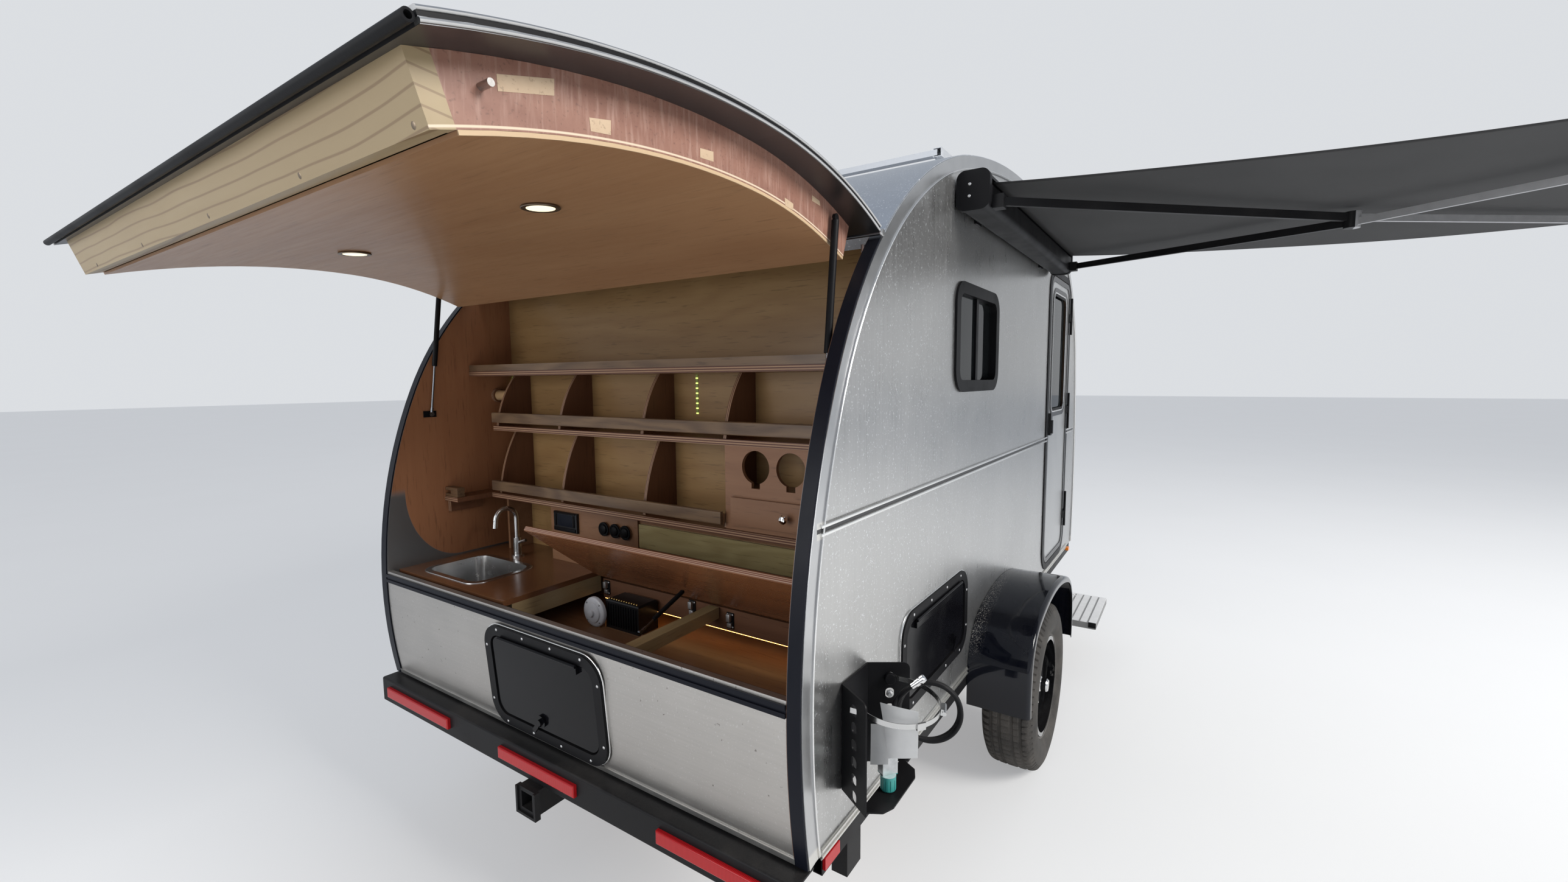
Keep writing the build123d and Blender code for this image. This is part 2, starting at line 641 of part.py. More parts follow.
def counter():
    """The fixed left part of the worktop, cut for the sink, with the boards that carry it."""
    under = COUNTER_TOP - PLY
    top = block((COUNTER_FRONT, BULKHEAD_X - GAP), (COUNTER_RIGHT, INNER - GAP), (under, COUNTER_TOP))
    width, length, radius, _ = SINK_BOWL
    top -= extrude(sink_middle() * RectangleRounded(width + 10, length + 10, radius), amount=40, both=True)
    edge_y = (COUNTER_RIGHT, COUNTER_RIGHT + 20)
    edge = block((COUNTER_FRONT + 30, COUNTER_BACK), edge_y, (under - 60, under))
    back = block((LID_HINGE_X + 5, BULKHEAD_X - GAP), (-INNER + GAP, COUNTER_RIGHT), (under, COUNTER_TOP))
    return top + edge + back


def galley_well():
    """The floor of the open well, what stands there, and the brace that carries the lid's strut."""
    floor_z = (WELL_FLOOR - PLY, WELL_FLOOR)
    board = block((WELL_X, BULKHEAD_X - GAP), (-INNER + GAP, INNER - GAP), floor_z)
    x, y, height = SUPPLY_BOX
    supply = block(x, y, (WELL_FLOOR, WELL_FLOOR + height))
    supply = fillet(supply.edges().group_by(Axis.Z)[-1], 8)
    x, y, z, radius = COVER_DISC
    profile = [(0, 0), (radius, 0), (radius, 7), (radius - 9, 13), (0, 15)]
    cover = revolve(make_face(Plane.XZ * Polyline(*profile, close=True)), Axis.Z, 360)
    cover = Pos(x, y, z) * Rot(0, -90, 0) * cover
    foot = block((x - 8, x + 14), (y - 24, y + 24), (WELL_FLOOR, z - 30))
    stud_x, stud_z = LID_STRUT_FOOT[0], LID_STRUT_FOOT[1] - 10
    stud = rod((stud_x, BRACE[1][1], stud_z), (stud_x, LID_STRUT_Y - 9, stud_z), 5)
    return [board + supply + cover + foot, block(*BRACE) + stud]


def sink():
    """A pressed bowl with its rim on the counter, and the gooseneck tap behind it."""
    middle = sink_middle()
    rim_height, rim_radius = SINK_RIM
    width, length, radius, taper = SINK_BOWL
    rim_face = RectangleRounded(SINK_X[1] - SINK_X[0], SINK_Y[1] - SINK_Y[0], rim_radius)
    rim = extrude(middle * rim_face, amount=rim_height)
    rim = fillet(rim.edges().group_by(Axis.Z)[-1], 2)
    bowl = extrude(middle * RectangleRounded(width, length, radius), amount=-SINK_DEPTH, taper=taper)
    bowl = fillet(bowl.faces().sort_by(Axis.Z)[0].edges(), 18)
    inner = RectangleRounded(width - 2 * SINK_SHEET, length - 2 * SINK_SHEET, radius - SINK_SHEET)
    inside = extrude(middle * Pos(0, 0, rim_height) * inner, amount=-SINK_DEPTH, taper=taper)
    inside = fillet(inside.faces().sort_by(Axis.Z)[0].edges(), 16)
    return [(rim + bowl) - inside, tap()]


def tap():
    """A gooseneck tap: base, riser, half-round bend and nozzle, with its side lever."""
    x, y = TAP_BASE
    bend = TAP_REACH / 2
    foot = COUNTER_TOP + 40
    top = COUNTER_TOP + TAP_HEIGHT - bend
    arch = ThreePointArc((x, y, top), (x - bend, y, top + bend), (x - TAP_REACH, y, top))
    nozzle = Line((x - TAP_REACH, y, top), (x - TAP_REACH - 3, y, top - 26))
    path = Line((x, y, foot), (x, y, top)) + arch + nozzle
    section = Plane(origin=(x, y, foot), z_dir=(0, 0, 1)) * Circle(TAP_RADIUS)
    neck = sweep(section, path=path, transition=Transition.ROUND)
    body = disc(x, y, COUNTER_TOP + GAP, 24, 6) + disc(x, y, COUNTER_TOP + 6, 15, 70)
    lever = rod((x, y, COUNTER_TOP + 52), (x + 4, y - 52, COUNTER_TOP + 70), 6)
    return neck + body + lever


def counter_lid():
    """The hinged right part of the worktop, with its three hinge knuckles."""
    x = (LID_HINGE_X - LID_LENGTH, LID_HINGE_X - 4)
    lid = block(x, (-INNER + 8, COUNTER_RIGHT - 6), (COUNTER_TOP - LID_THICKNESS, COUNTER_TOP))
    lid = fillet(lid.edges().filter_by(Axis.Y).group_by(Axis.X)[0], 5)
    radius, length = LID_HINGE
    for y in LID_HINGE_Y:
        span = (y - length / 2, y + length / 2)
        lid += rod((LID_HINGE_X, span[0], COUNTER_TOP), (LID_HINGE_X, span[1], COUNTER_TOP), radius)
        lid += block((LID_HINGE_X - 34, LID_HINGE_X), span, (COUNTER_TOP - 1, COUNTER_TOP + 2))
    return lifted(lid)


def lid_strut_pivots():
    """The upper and lower pivots of the lid's strut with the lid open."""
    angle = radians(LID_OPEN)
    x = LID_HINGE_X - LID_STRUT_TOP_REACH * cos(angle) - LID_STRUT_DROP * sin(angle)
    z = COUNTER_TOP + LID_STRUT_TOP_REACH * sin(angle) - LID_STRUT_DROP * cos(angle)
    return (x, z), LID_STRUT_FOOT


def strut(y, top, foot, tube_radius, rod_radius, tube_length, eye_radius):
    """A gas strut between two pivots in the side view: its tube above and its rod below."""
    length = hypot(top[0] - foot[0], top[1] - foot[1])
    along = Vector((foot[0] - top[0]) / length, 0, (foot[1] - top[1]) / length)
    start = Vector(top[0], y, top[1])
    stop = Vector(foot[0], y, foot[1])
    eye = Rot(90, 0, 0) * Cylinder(eye_radius, STRUT_EYE_WIDTH)
    tube = rod(start + along * (eye_radius - 2), start + along * tube_length, tube_radius)
    tube -= rod(start + along * 20, start + along * (tube_length + 1), rod_radius + 0.6)
    tube += Pos(*start) * eye
    shaft = rod(start + along * (tube_length - STRUT_OVERLAP), stop - along * (eye_radius - 2), rod_radius)
    shaft += rod(stop - along * 24, stop - along * (eye_radius - 2), rod_radius + 1.5)
    return tube, shaft + Pos(*stop) * eye


def hatch_skin():
    """The curved outer skin, as wide as the body, with the hinge's barrel along its top edge."""
    outer = -HATCH_RAISE
    face = BODY.band(HATCH_LOW, HATCH_HIGH, outer, outer + HATCH_SKIN, (HATCH_LIP, HATCH_TOP_GAP))
    skin = slab(face, -HALF, HALF)
    barrel = rod((HINGE[0], -HALF, HINGE[1]), (HINGE[0], HALF, HINGE[1]), HINGE_RADIUS)
    link = slab(BODY.band(HATCH_HIGH, HATCH_HIGH, outer + 2, outer + HATCH_SKIN - 2, (0, 1)), -HALF, HALF)
    link &= Pos(HINGE[0], 0, HINGE[1]) * Box(10 * HINGE_RADIUS, BODY_WIDTH, 10 * HINGE_RADIUS)
    return raised(skin + link + barrel)


def hatch_frame():
    """Two curved side ribs with their latch pins, and the pale board across the lip end."""
    outer = -HATCH_RAISE + HATCH_SKIN + GAP
    inner = HATCH_DEPTH - HATCH_LINER - GAP
    rib = BODY.band(HATCH_LOW, HATCH_HIGH, outer, inner, (RIB_FOOT, RIB_SETBACK))
    board_trim = (RIB_FOOT - END_BOARD, BODY.length(HATCH_LOW) - RIB_FOOT)
    whole = slab(BODY.band(HATCH_LOW, HATCH_LOW, outer, inner, board_trim), -RIB_FACE, RIB_FACE)
    x, z = BODY.point(HATCH_LOW, LATCH_PIN_TURN, HATCH_DEPTH * 0.36)
    for _, sign in SIDES:
        whole += side_slab(sign, rib, RIB_FACE - RIB_THICKNESS, RIB_FACE)
        whole += rod((x, sign * (RIB_FACE - 4), z), (x, sign * (RIB_FACE + LATCH_PIN_REACH), z), 5)
    return raised(whole)


def hatch_liner():
    """The curved ply lining, with a ring for each of its two downlights."""
    inner = HATCH_DEPTH
    trim = (RIB_FOOT + 4, RIB_SETBACK)
    liner = slab(BODY.band(HATCH_LOW, HATCH_HIGH, inner - HATCH_LINER, inner, trim), -RIB_FACE, RIB_FACE)
    x, z = BODY.point(HATCH_LOW, DOWNLIGHT_TURN, inner - 2)
    nx, nz = BODY.normal(HATCH_LOW, DOWNLIGHT_TURN)
    for _, sign in SIDES:
        plane = Plane(origin=(x, sign * DOWNLIGHT_Y, z), z_dir=(-nx, 0, -nz))
        liner += plane * Cylinder(DOWNLIGHT_RADIUS, 6, align=UPWARD)
    return raised(liner)


def window_frame(sign):
    """A black window frame: a rounded flange outside, a sleeve through the wall and a slider bar."""
    x0, x1, z0, z1, _ = WINDOW
    inner = rounded(*WINDOW, grow=-FRAME_WIDTH - FRAME_STEP)
    flange = side_slab(sign, rounded(*WINDOW) - inner, HALF + GAP, HALF + 8)
    sleeve = side_slab(sign, rounded(*WINDOW, grow=-FRAME_WIDTH - GAP) - inner, INNER - 4, HALF + 4)
    bar_x = ((x0 + x1 - SLIDER_BAR) / 2, (x0 + x1 + SLIDER_BAR) / 2)
    bar_z = (z0 + FRAME_WIDTH + 7, z1 - FRAME_WIDTH - 7)
    return flange + sleeve + side_block(sign, bar_x, (HALF - 26, HALF - 2), bar_z)


def window_panes():
    """The fixed and the sliding pane of both side windows."""
    x0, x1, z0, z1, _ = WINDOW
    middle = (x0 + x1) / 2
    half_bar = SLIDER_BAR / 2 + GAP
    opening = rounded(*WINDOW, grow=-FRAME_WIDTH - FRAME_STEP - GAP)
    panes = []
    for _, sign in SIDES:
        for low, high, depth in ((x0, middle - half_bar, 10), (middle + half_bar, x1, 18)):
            face = opening & (Pos((low + high) / 2, (z0 + z1) / 2) * Rectangle(high - low, z1 - z0))
            panes.append(side_slab(sign, face, HALF - depth - 4, HALF - depth))
    return panes


def door_frame(sign):
    """The black frame round a door's opening, with the wall halves of its three hinges."""
    ring = side_slab(sign, rounded(*DOOR, grow=DOOR_RING) - rounded(*DOOR), HALF + GAP, HALF + 5)
    ring -= side_slab(sign, BODY.band(CREST, NOSE, -20, EDGE_WIDTH + GAP), HALF - 1, HALF + 9)
    for z in DOOR_HINGE_Z:
        ring += side_block(sign, (DOOR[1] + 9, DOOR[1] + 35), (HALF + 4, HALF + 8), (z - 27, z + 27))
    return ring


def entry_door(sign):
    """A wall-thick door leaf with its window cut, raised border, hinges and handle."""
    edge = rounded(*DOOR, grow=-DOOR_GAP)
    leaf = side_slab(sign, edge, INNER + 2, HALF)
    leaf += side_slab(sign, edge - rounded(*DOOR, grow=-DOOR_GAP - DOOR_BORDER), HALF - 1, HALF + 5)
    leaf += side_slab(sign, rounded(*DOOR_WINDOW, grow=22), HALF - 1, HALF + 4)
    leaf -= side_slab(sign, rounded(*DOOR_WINDOW), INNER, HALF + 9)
    hinge_x = DOOR[1] + 2
    radius, length = DOOR_HINGE
    for z in DOOR_HINGE_Z:
        leaf += disc(hinge_x, sign * (HALF + HINGE_OUT), z - length / 2, radius, length)
        leaf += side_block(sign, (hinge_x - 34, hinge_x - 4), (HALF + 4, HALF + 12), (z - 22, z + 22))
    handle = side_block(sign, (DOOR[0] + 34, DOOR[0] + 74), (HALF - 1, HALF + 16), HANDLE_Z)
    lever_z = (HANDLE_Z[0] + 10, HANDLE_Z[1] - 38)
    return leaf + handle + side_block(sign, (DOOR[0] + 44, DOOR[0] + 62), (HALF + 15, HALF + 24), lever_z)


def door_glass(sign):
    """The tall tinted pane of a door."""
    return side_slab(sign, rounded(*DOOR_WINDOW, grow=-GAP), HALF - 16, HALF - 10)


def access_frames():
    """The black frames of the two access doors: one in the right wall, one flat in the curved panel."""
    hole = rounded(*SIDE_HATCH, grow=-FRAME_WIDTH)
    side = side_slab(-1, rounded(*SIDE_HATCH) - hole, HALF + GAP, HALF + 8)
    side += side_slab(-1, rounded(*SIDE_HATCH, grow=-FRAME_WIDTH / 2 - GAP) - hole, INNER, HALF + 4)
    rear = rear_hatch_prism(0, 3, 10) + rear_hatch_prism(FRAME_WIDTH / 2 + GAP, -24, 4)
    return [side, rear - rear_hatch_prism(FRAME_WIDTH, -60, 60)]


def latch(plane):
    """A chrome cam latch: a round base and a folding handle, on the given plane."""
    base = plane * Cylinder(19, 8, align=UPWARD) + plane * Cylinder(9, 16, align=UPWARD)
    return base + plane * Rot(0, 0, 140) * Pos(0, 18, 13) * Box(14, 52, 6)


def access_door_side():
    """The side access door: a rounded leaf on a long hinge, with its cam latch."""
    leaf = side_slab(-1, rounded(*SIDE_HATCH, grow=-FRAME_WIDTH - DOOR_GAP), HALF - 14, HALF + 4)
    middle = (SIDE_HATCH[0] + SIDE_HATCH[1]) / 2
    hinge_z = SIDE_HATCH[3] - FRAME_WIDTH - 2
    radius, length, _ = ACCESS_HINGE
    span = (middle - length / 2, middle + length / 2)
    leaf += rod((span[0], -HALF - HINGE_OUT, hinge_z), (span[1], -HALF - HINGE_OUT, hinge_z), radius)
    leaf += block(span, (-HALF - HINGE_OUT, -HALF - 3), (hinge_z - 24, hinge_z - 2))
    corner = (middle + 150, -HALF - 3, SIDE_HATCH[2] + 80)
    return leaf + latch(Plane(origin=corner, x_dir=(1, 0, 0), z_dir=(0, -1, 0)))


def access_door_rear():
    """The rear access door: a rounded leaf hung from its top edge, with its cam latch."""
    height = REAR_HATCH_SIZE[1]
    radius, _, length = ACCESS_HINGE
    leaf = rear_hatch_prism(FRAME_WIDTH + DOOR_GAP, -12, 6)
    plane = rear_hatch_plane()
    hinge = height / 2 - FRAME_WIDTH - 2
    barrel = plane * Pos(0, hinge, 16) * Rot(0, 90, 0) * Cylinder(radius, length)
    plate = plane * Pos(0, hinge - 13, 10) * Box(length, 22, 12)
    return leaf + barrel + plate + latch(plane * Pos(-18, -height / 2 + 66, 5))


def outer_edges(solid, sign):
    """The edges of a solid that lie in its outermost upright plane on that side."""
    return solid.faces().sort_by(Axis.Y)[-1 if sign > 0 else 0].edges()


def fender(sign):
    """A pressed steel fender: its outer edge rolled over into a narrow lip, its foot turned to the wall."""
    last = len(FENDER_ARCS) - 1
    floor_line = FENDER_BOTTOM + 1
    shell = side_slab(sign, FENDER.area(0, last), HALF + 1, FENDER_OUTER)
    rims = outer_edges(shell, sign).filter_by(lambda edge: edge.center().Z > floor_line)
    shell = fillet(rims, FENDER_ROLL)
    drop = 2 * FENDER_LIP
    core = side_slab(sign, FENDER.area(0, last, FENDER_SHEET, drop), HALF, FENDER_OUTER - FENDER_SHEET)
    rims = outer_edges(core, sign).filter_by(lambda edge: edge.center().Z > floor_line)
    core = fillet(rims, FENDER_ROLL - FENDER_SHEET)
    shell -= core + side_slab(sign, FENDER.area(0, last, FENDER_LIP, drop), HALF, FENDER_OUTER + 1)
    return shell + side_slab(sign, FENDER.band(0, last, 0, FENDER_FLANGE), HALF + 1, HALF + 4)


def tyre(sign):
    """A radial trailer tyre: flat tread, rounded shoulders, bulged sidewalls and beads."""
    half = TYRE_WIDTH / 2
    bead, crown, shoulder = RIM_RADIUS + 2, TYRE_RADIUS - 4, TYRE_RADIUS - 20
    lining = TYRE_RADIUS - 24
    right = [
        Line((half - 44, bead), (half - 30, bead)),
        Line((half - 30, bead), (half - 16, bead + 24)),
        ThreePointArc((half - 16, bead + 24), (half, TYRE_BULGE), (half - 14, shoulder)),
        ThreePointArc((half - 14, shoulder), (half - 20, TYRE_RADIUS - 9), (half - 34, crown)),
        ThreePointArc((half - 44, bead), (half - 14, TYRE_BULGE), (half - 30, lining)),
    ]
    left = [mirror(edge, Plane.YZ) for edge in right]
    tread = ThreePointArc((half - 34, crown), (0, TYRE_RADIUS), (34 - half, crown))
    inside = Line((half - 30, lining), (30 - half, lining))
    solid = revolve(make_face(right + [tread] + left + [inside]), Axis.X, 360)
    return Pos(WHEEL_X, sign * WHEEL_Y, WHEEL_Z) * Rot(0, 0, 90) * solid


def turned(profile):
    """A solid of revolution about Z from radius and height pairs."""
    return revolve(make_face(Plane.XZ * Polyline(*profile, close=True)), Axis.Z, 360)


def wheel(sign):
    """A steel wheel: drop-centre rim, ridged disc with round vents, lug nuts, hub and grease cap."""
    back = [(radius, out - DISC_SHEET) for radius, out in reversed(DISC_FACE)]
    solid = turned(RIM_OUTSIDE + RIM_INSIDE) + turned(DISC_FACE + tuple(back))
    count, circle, radius = VENTS
    for index in range(count):
        solid -= Rot(0, 0, index * 360 / count) * Pos(circle, 0, 20) * Cylinder(radius, 60)
    count, circle, radius, height = LUGS
    for index in range(count):
        seat = Rot(0, 0, index * 360 / count) * Pos(circle, 0, DISC_FACE[-1][1] - 1)
        solid += seat * extrude(RegularPolygon(radius, 6), amount=height)
    solid += turned(HUB_PROFILE)
    return Pos(WHEEL_X, sign * WHEEL_Y, WHEEL_Z) * Rot(-90 * sign, 0, 0) * solid


def axle():
    """The torsion axle: its square tube, two trailing arms, and the spindle hub of each wheel."""
    size, wall = AXLE_TUBE
    tube_x, tube_z = WHEEL_X + AXLE_OFFSET, RAIL_Z[0] - size / 2 - GAP
    solid = square_bar((tube_x, -790, tube_z), (tube_x, 790, tube_z), size, size, wall)
    for _, sign in SIDES:
        solid += rod((tube_x, sign * 780, tube_z), (tube_x, sign * (ARM_Y + 16), tube_z), 38)
        solid += square_bar((tube_x, sign * ARM_Y, tube_z), (WHEEL_X, sign * ARM_Y, WHEEL_Z), 22, 62)
        eye, spindle = (ARM_Y - 11, ARM_Y + 16, 36), (ARM_Y + 10, WHEEL_Y + 4, 22)
        drum = (910, WHEEL_Y - 24, 60)
        for start, stop, radius in (eye, spindle, drum):
            solid += rod((WHEEL_X, sign * start, WHEEL_Z), (WHEEL_X, sign * stop, WHEEL_Z), radius)
    return solid


def chassis():
    """The welded frame under the floor: two rails, five cross members and the tongue's two legs."""
    z = RAIL_MIDDLE
    steel = (RAIL_WIDTH, RAIL_HEIGHT, RAIL_WALL)
    frame = None
    for _, sign in SIDES:
        rail = square_bar((RAIL_X[0], sign * RAIL_Y, z), (RAIL_X[1], sign * RAIL_Y, z), *steel)
        frame = rail if frame is None else frame + rail
        root = (TONGUE_ROOT_X, sign * (RAIL_Y - 30), z)
        frame += square_bar(root, (TONGUE_TIP_X, sign * TONGUE_TIP_Y, z), *steel)
    for x in CROSS_MEMBER_X:
        frame += square_bar((x, -RAIL_Y + 20, z), (x, RAIL_Y - 20, z), RAIL_WIDTH, RAIL_HEIGHT - 8, RAIL_WALL)
    plate = block((JACK_X - 90, JACK_X + 90), (-130, 130), (RAIL_Z[1], RAIL_Z[1] + 8))
    plate -= Pos(JACK_X, 0, RAIL_Z[1]) * Cylinder(JACK_TUBE[0] + 3, 60)
    seat_y = (-42 - GAP, 42 + GAP)
    seat = block((TONGUE_TIP_X - 150 - GAP, TONGUE_TIP_X + 60), seat_y, (RAIL_Z[0] - 5, RAIL_Z[1] + 20))
    return frame + plate - seat


def side_sill(sign):
    """The tube along a wall's foot on its five outriggers, with the folded stay at the rear corner."""
    width, height, wall = SILL_TUBE
    z = SILL_TUBE_Z
    y = sign * SILL_TUBE_Y
    sill = square_bar((SILL_TUBE_X[0], y, z), (SILL_TUBE_X[1], y, z), width, height, wall)
    root = sign * (RAIL_Y + RAIL_WIDTH / 2 + GAP)
    for x in OUTRIGGER_X:
        sill += square_bar((x, root, z), (x, sign * (SILL_TUBE_Y - width / 2 + 1), z), 40, 40, 3)
    x, depth, stay_z, sheet = CORNER_STAY
    stay = side_block(sign, x, depth, stay_z)
    inner_z = (stay_z[0] - 1, stay_z[1] - 8)
    stay -= side_block(sign, (x[0] + sheet, x[1] - sheet), (depth[0] - 1, depth[1] - sheet), inner_z)
    return sill + stay


def coupler():
    """The ball coupler at the tongue's tip, hollow below to take the ball, with its latch lever."""
    z = RAIL_Z[1]
    foot = z - 62
    channel = block((TONGUE_TIP_X - 150, COUPLER_BALL_X), (-42, 42), (foot, z + 8))
    channel -= block((TONGUE_TIP_X - 160, COUPLER_BALL_X - 20), (-37, 37), (foot - 8, z + 3))
    nose = disc(COUPLER_BALL_X, 0, foot, 42, 70)
    nose = fillet(nose.edges().group_by(Axis.Z)[-1], 14)
    socket = Pos(COUPLER_BALL_X, 0, z - 34) * Sphere(BALL_RADIUS + 0.8)
    mouth = disc(COUPLER_BALL_X, 0, z - 90, BALL_RADIUS + 0.8, 56)
    lever = block((COUPLER_BALL_X - 130, COUPLER_BALL_X - 20), (-11, 11), (z + 12, z + 20))
    lever += block((COUPLER_BALL_X - 40, COUPLER_BALL_X - 24), (-11, 11), (z + 4, z + 16))
    return channel + nose - socket - mouth + lever


def jack_tube():
    """The tongue jack's outer tube and flange, with its crank."""
    z = RAIL_Z[1] + 8
    outer, inner, length = JACK_TUBE
    crank_z = z + 318
    tube = disc(JACK_X, 0, z - JACK_DROP, outer, length)
    tube -= disc(JACK_X, 0, z - JACK_DROP - 1, inner, length - 40)
    flange = disc(JACK_X, 0, z, 62, 8) - disc(JACK_X, 0, z - 1, outer - 1, 20)
    head = disc(JACK_X, 0, z + 305, outer + 5, 26)
    arm = rod((JACK_X, 0, crank_z), (JACK_X, -150, crank_z), 6)
    grip = rod((JACK_X, -144, crank_z - 6), (JACK_X, -144, crank_z + 102), 12)
    return tube + flange + head + arm + grip


def jack_leg():
    """The inner tube of the jack and its foot plate on the ground."""
    radius, length = JACK_LEG
    return disc(JACK_X, 0, GROUND, 70, 8) + disc(JACK_X, 0, GROUND + 6, radius, length)


def bumper():
    """A folded steel bumper across the rear, with its hitch receiver below."""
    low, high = BUMPER_Z
    channel = block(BUMPER_X, (-HALF, HALF), BUMPER_Z)
    channel = fillet(channel.edges().filter_by(Axis.Y).group_by(Axis.X)[0], 6)
    hollow_x = (BUMPER_X[0] + BUMPER_SHEET, BUMPER_X[1] + 6)
    channel -= block(hollow_x, (-HALF - 1, HALF + 1), (low + BUMPER_SHEET, high - BUMPER_SHEET))
    outside, inside = RECEIVER
    receiver = block(RECEIVER_X, (-outside, outside), (RECEIVER_Z - outside, RECEIVER_Z + outside))
    bore_x = (RECEIVER_X[0] - 30, RECEIVER_X[1] + 10)
    bore = block(bore_x, (-inside, inside), (RECEIVER_Z - inside, RECEIVER_Z + inside))
    pin = Pos(30, 0, RECEIVER_Z) * Rot(90, 0, 0) * Cylinder(8, 200)
    collar_x = (RECEIVER_X[0] - 6, RECEIVER_X[0] + 12)
    collar = block(collar_x, (-outside - 8, outside + 8), (RECEIVER_Z - outside - 8, low - 0.1))
    collar -= block(bore_x, (-outside, outside), (RECEIVER_Z - outside, low + 6))
    return channel + (receiver - bore - pin) + collar


def tail_lamps():
    """Three red lamp bars on the bumper, a reflector low on each side and a marker lamp by the nose."""
    face = BUMPER_X[0] - GAP
    lamps = []
    for span in LAMP_SPANS:
        lamp = block((face - 12, face), span, LAMP_Z)
        lamps.append(fillet(lamp.edges().group_by(Axis.X)[0], 4))
    sill = SILL_TUBE_Y + SILL_TUBE[0] / 2 + GAP
    for _, sign in SIDES:
        lamps.append(side_block(sign, REFLECTOR[0], (sill, sill + 8), REFLECTOR[1]))
        lamps.append(side_block(sign, MARKER[0], (sill, sill + 18), MARKER[1]))
    return lamps


def door_step(sign):
    """A fold-down step under a door: its grooved tread and folding arms."""
    low, high = sorted((sign * STEP_DEPTH[0], sign * STEP_DEPTH[1]))
    x0, x1 = STEP_X
    tread = block(STEP_X, (low, high), (STEP_TOP - 36, STEP_TOP))
    hollow = (low + STEP_SHEET, high - STEP_SHEET)
    tread -= block((x0 + STEP_SHEET, x1 - STEP_SHEET), hollow, (STEP_TOP - 40, STEP_TOP - 6))
    for row in (1, 2, 3, 4):
        y = low + row * (high - low) / 5
        tread -= block((x0 - 5, x1 + 5), (y - 5, y + 5), (STEP_TOP - 3, STEP_TOP + 5))
    foot_z = (RAIL_Z[0] - 14, RAIL_Z[0] - GAP)
    for at in (x0 + STEP_ARM_INSET, x1 - STEP_ARM_INSET):
        outer = (at, sign * (STEP_DEPTH[0] + 50), STEP_TOP - 22)
        tread += square_bar(outer, (at, sign * (RAIL_Y + 30), RAIL_Z[0] - 12), 8, 30)
        tread += side_block(sign, (at - 20, at + 20), (RAIL_Y - 10, RAIL_Y + 70), foot_z)
    return tread


def awning_case():
    """The extruded awning case with its end caps and wall brackets."""
    y0, y1 = AWNING_Y
    z0, z1 = AWNING_Z
    middle = Pos((y0 + y1) / 2, (z0 + z1) / 2)
    cap = middle * RectangleRounded(y1 - y0 + 6, z1 - z0 + 6, 28)
    section = middle * RectangleRounded(y1 - y0, z1 - z0, 26) - Pos(y0, z1 - AWNING_SLOT) * Rectangle(60, 18)
    case = None
    for low, high, face in (
        (AWNING_X[0] + AWNING_CAP, AWNING_X[1] - AWNING_CAP, section),
        (AWNING_X[0], AWNING_X[0] + AWNING_CAP, cap),
        (AWNING_X[1] - AWNING_CAP, AWNING_X[1], cap),
    ):
        plane = Plane(origin=(low, 0, 0), x_dir=(0, 1, 0), z_dir=(1, 0, 0))
        piece = extrude(plane * face, amount=high - low, dir=(1, 0, 0))
        case = piece if case is None else case + piece
    for x in (AWNING_X[0] + 240, AWNING_X[1] - 240):
        case += block((x - 30, x + 30), (-HALF - 9, -HALF - GAP), (z0 + 4, z1 - 14))
        case += block((x - 30, x + 30), (y1 - 10, -HALF - 6), (z0 + 20, z0 + 60))
    return case


def awning_arms():
    """The lead rail and the two crossed folding arms that meet at a knuckle half way out."""
    outer_y = AWNING_Y[0] - AWNING_REACH
    rail_z = (AWNING_EDGE_Z - 50, AWNING_EDGE_Z + 6)
    rail = block((AWNING_X[0] + 20, AWNING_X[1] - 20), (outer_y - 36, outer_y), rail_z)
    rail = fillet(rail.edges().filter_by(Axis.X).group_by(Axis.Y)[0], 10)
    root_z = AWNING_Z[0] + 26
    x, y, z = KNUCKLE
    for end, inward, lift in ((0, 60, 0), (1, -60, 15)):
        root = (AWNING_X[end] + inward, AWNING_Y[0] - 20, root_z)
        tip = (AWNING_X[1 - end] - inward, outer_y - 6, AWNING_EDGE_Z - 26)
        rail += square_bar(root, (x, y, z - lift), 14, 26) + square_bar((x, y, z - lift), tip, 12, 22)
        foot_y = (AWNING_Y[0] - 34, AWNING_Y[0] - GAP)
        rail += block((root[0] - 20, root[0] + 20), foot_y, (root_z - 22, root_z + 20))
    return rail + disc(x, y, z - 34, 22, 52)


def awning_fabric():
    """The awning's cloth, a thin sagging sheet from the case's slot to the lead rail."""
    outer_y = AWNING_Y[0] - AWNING_REACH
    start = (AWNING_Y[0] - 1, AWNING_Z[1] - AWNING_SLOT)
    stop = (outer_y + 1, AWNING_EDGE_Z + 14)
    middle = ((start[0] + stop[0]) / 2, (start[1] + stop[1]) / 2 - AWNING_SAG)
    top = ThreePointArc(start, middle, stop)
    low = ThreePointArc(*[(y, z - 3) for y, z in (start, middle, stop)])
    face = make_face([top, low, Line(top @ 0, low @ 0), Line(top @ 1, low @ 1)])
    plane = Plane(origin=(AWNING_X[0] + 45, 0, 0), x_dir=(0, 1, 0), z_dir=(1, 0, 0))
    return extrude(plane * face, amount=AWNING_X[1] - AWNING_X[0] - 90, dir=(1, 0, 0))


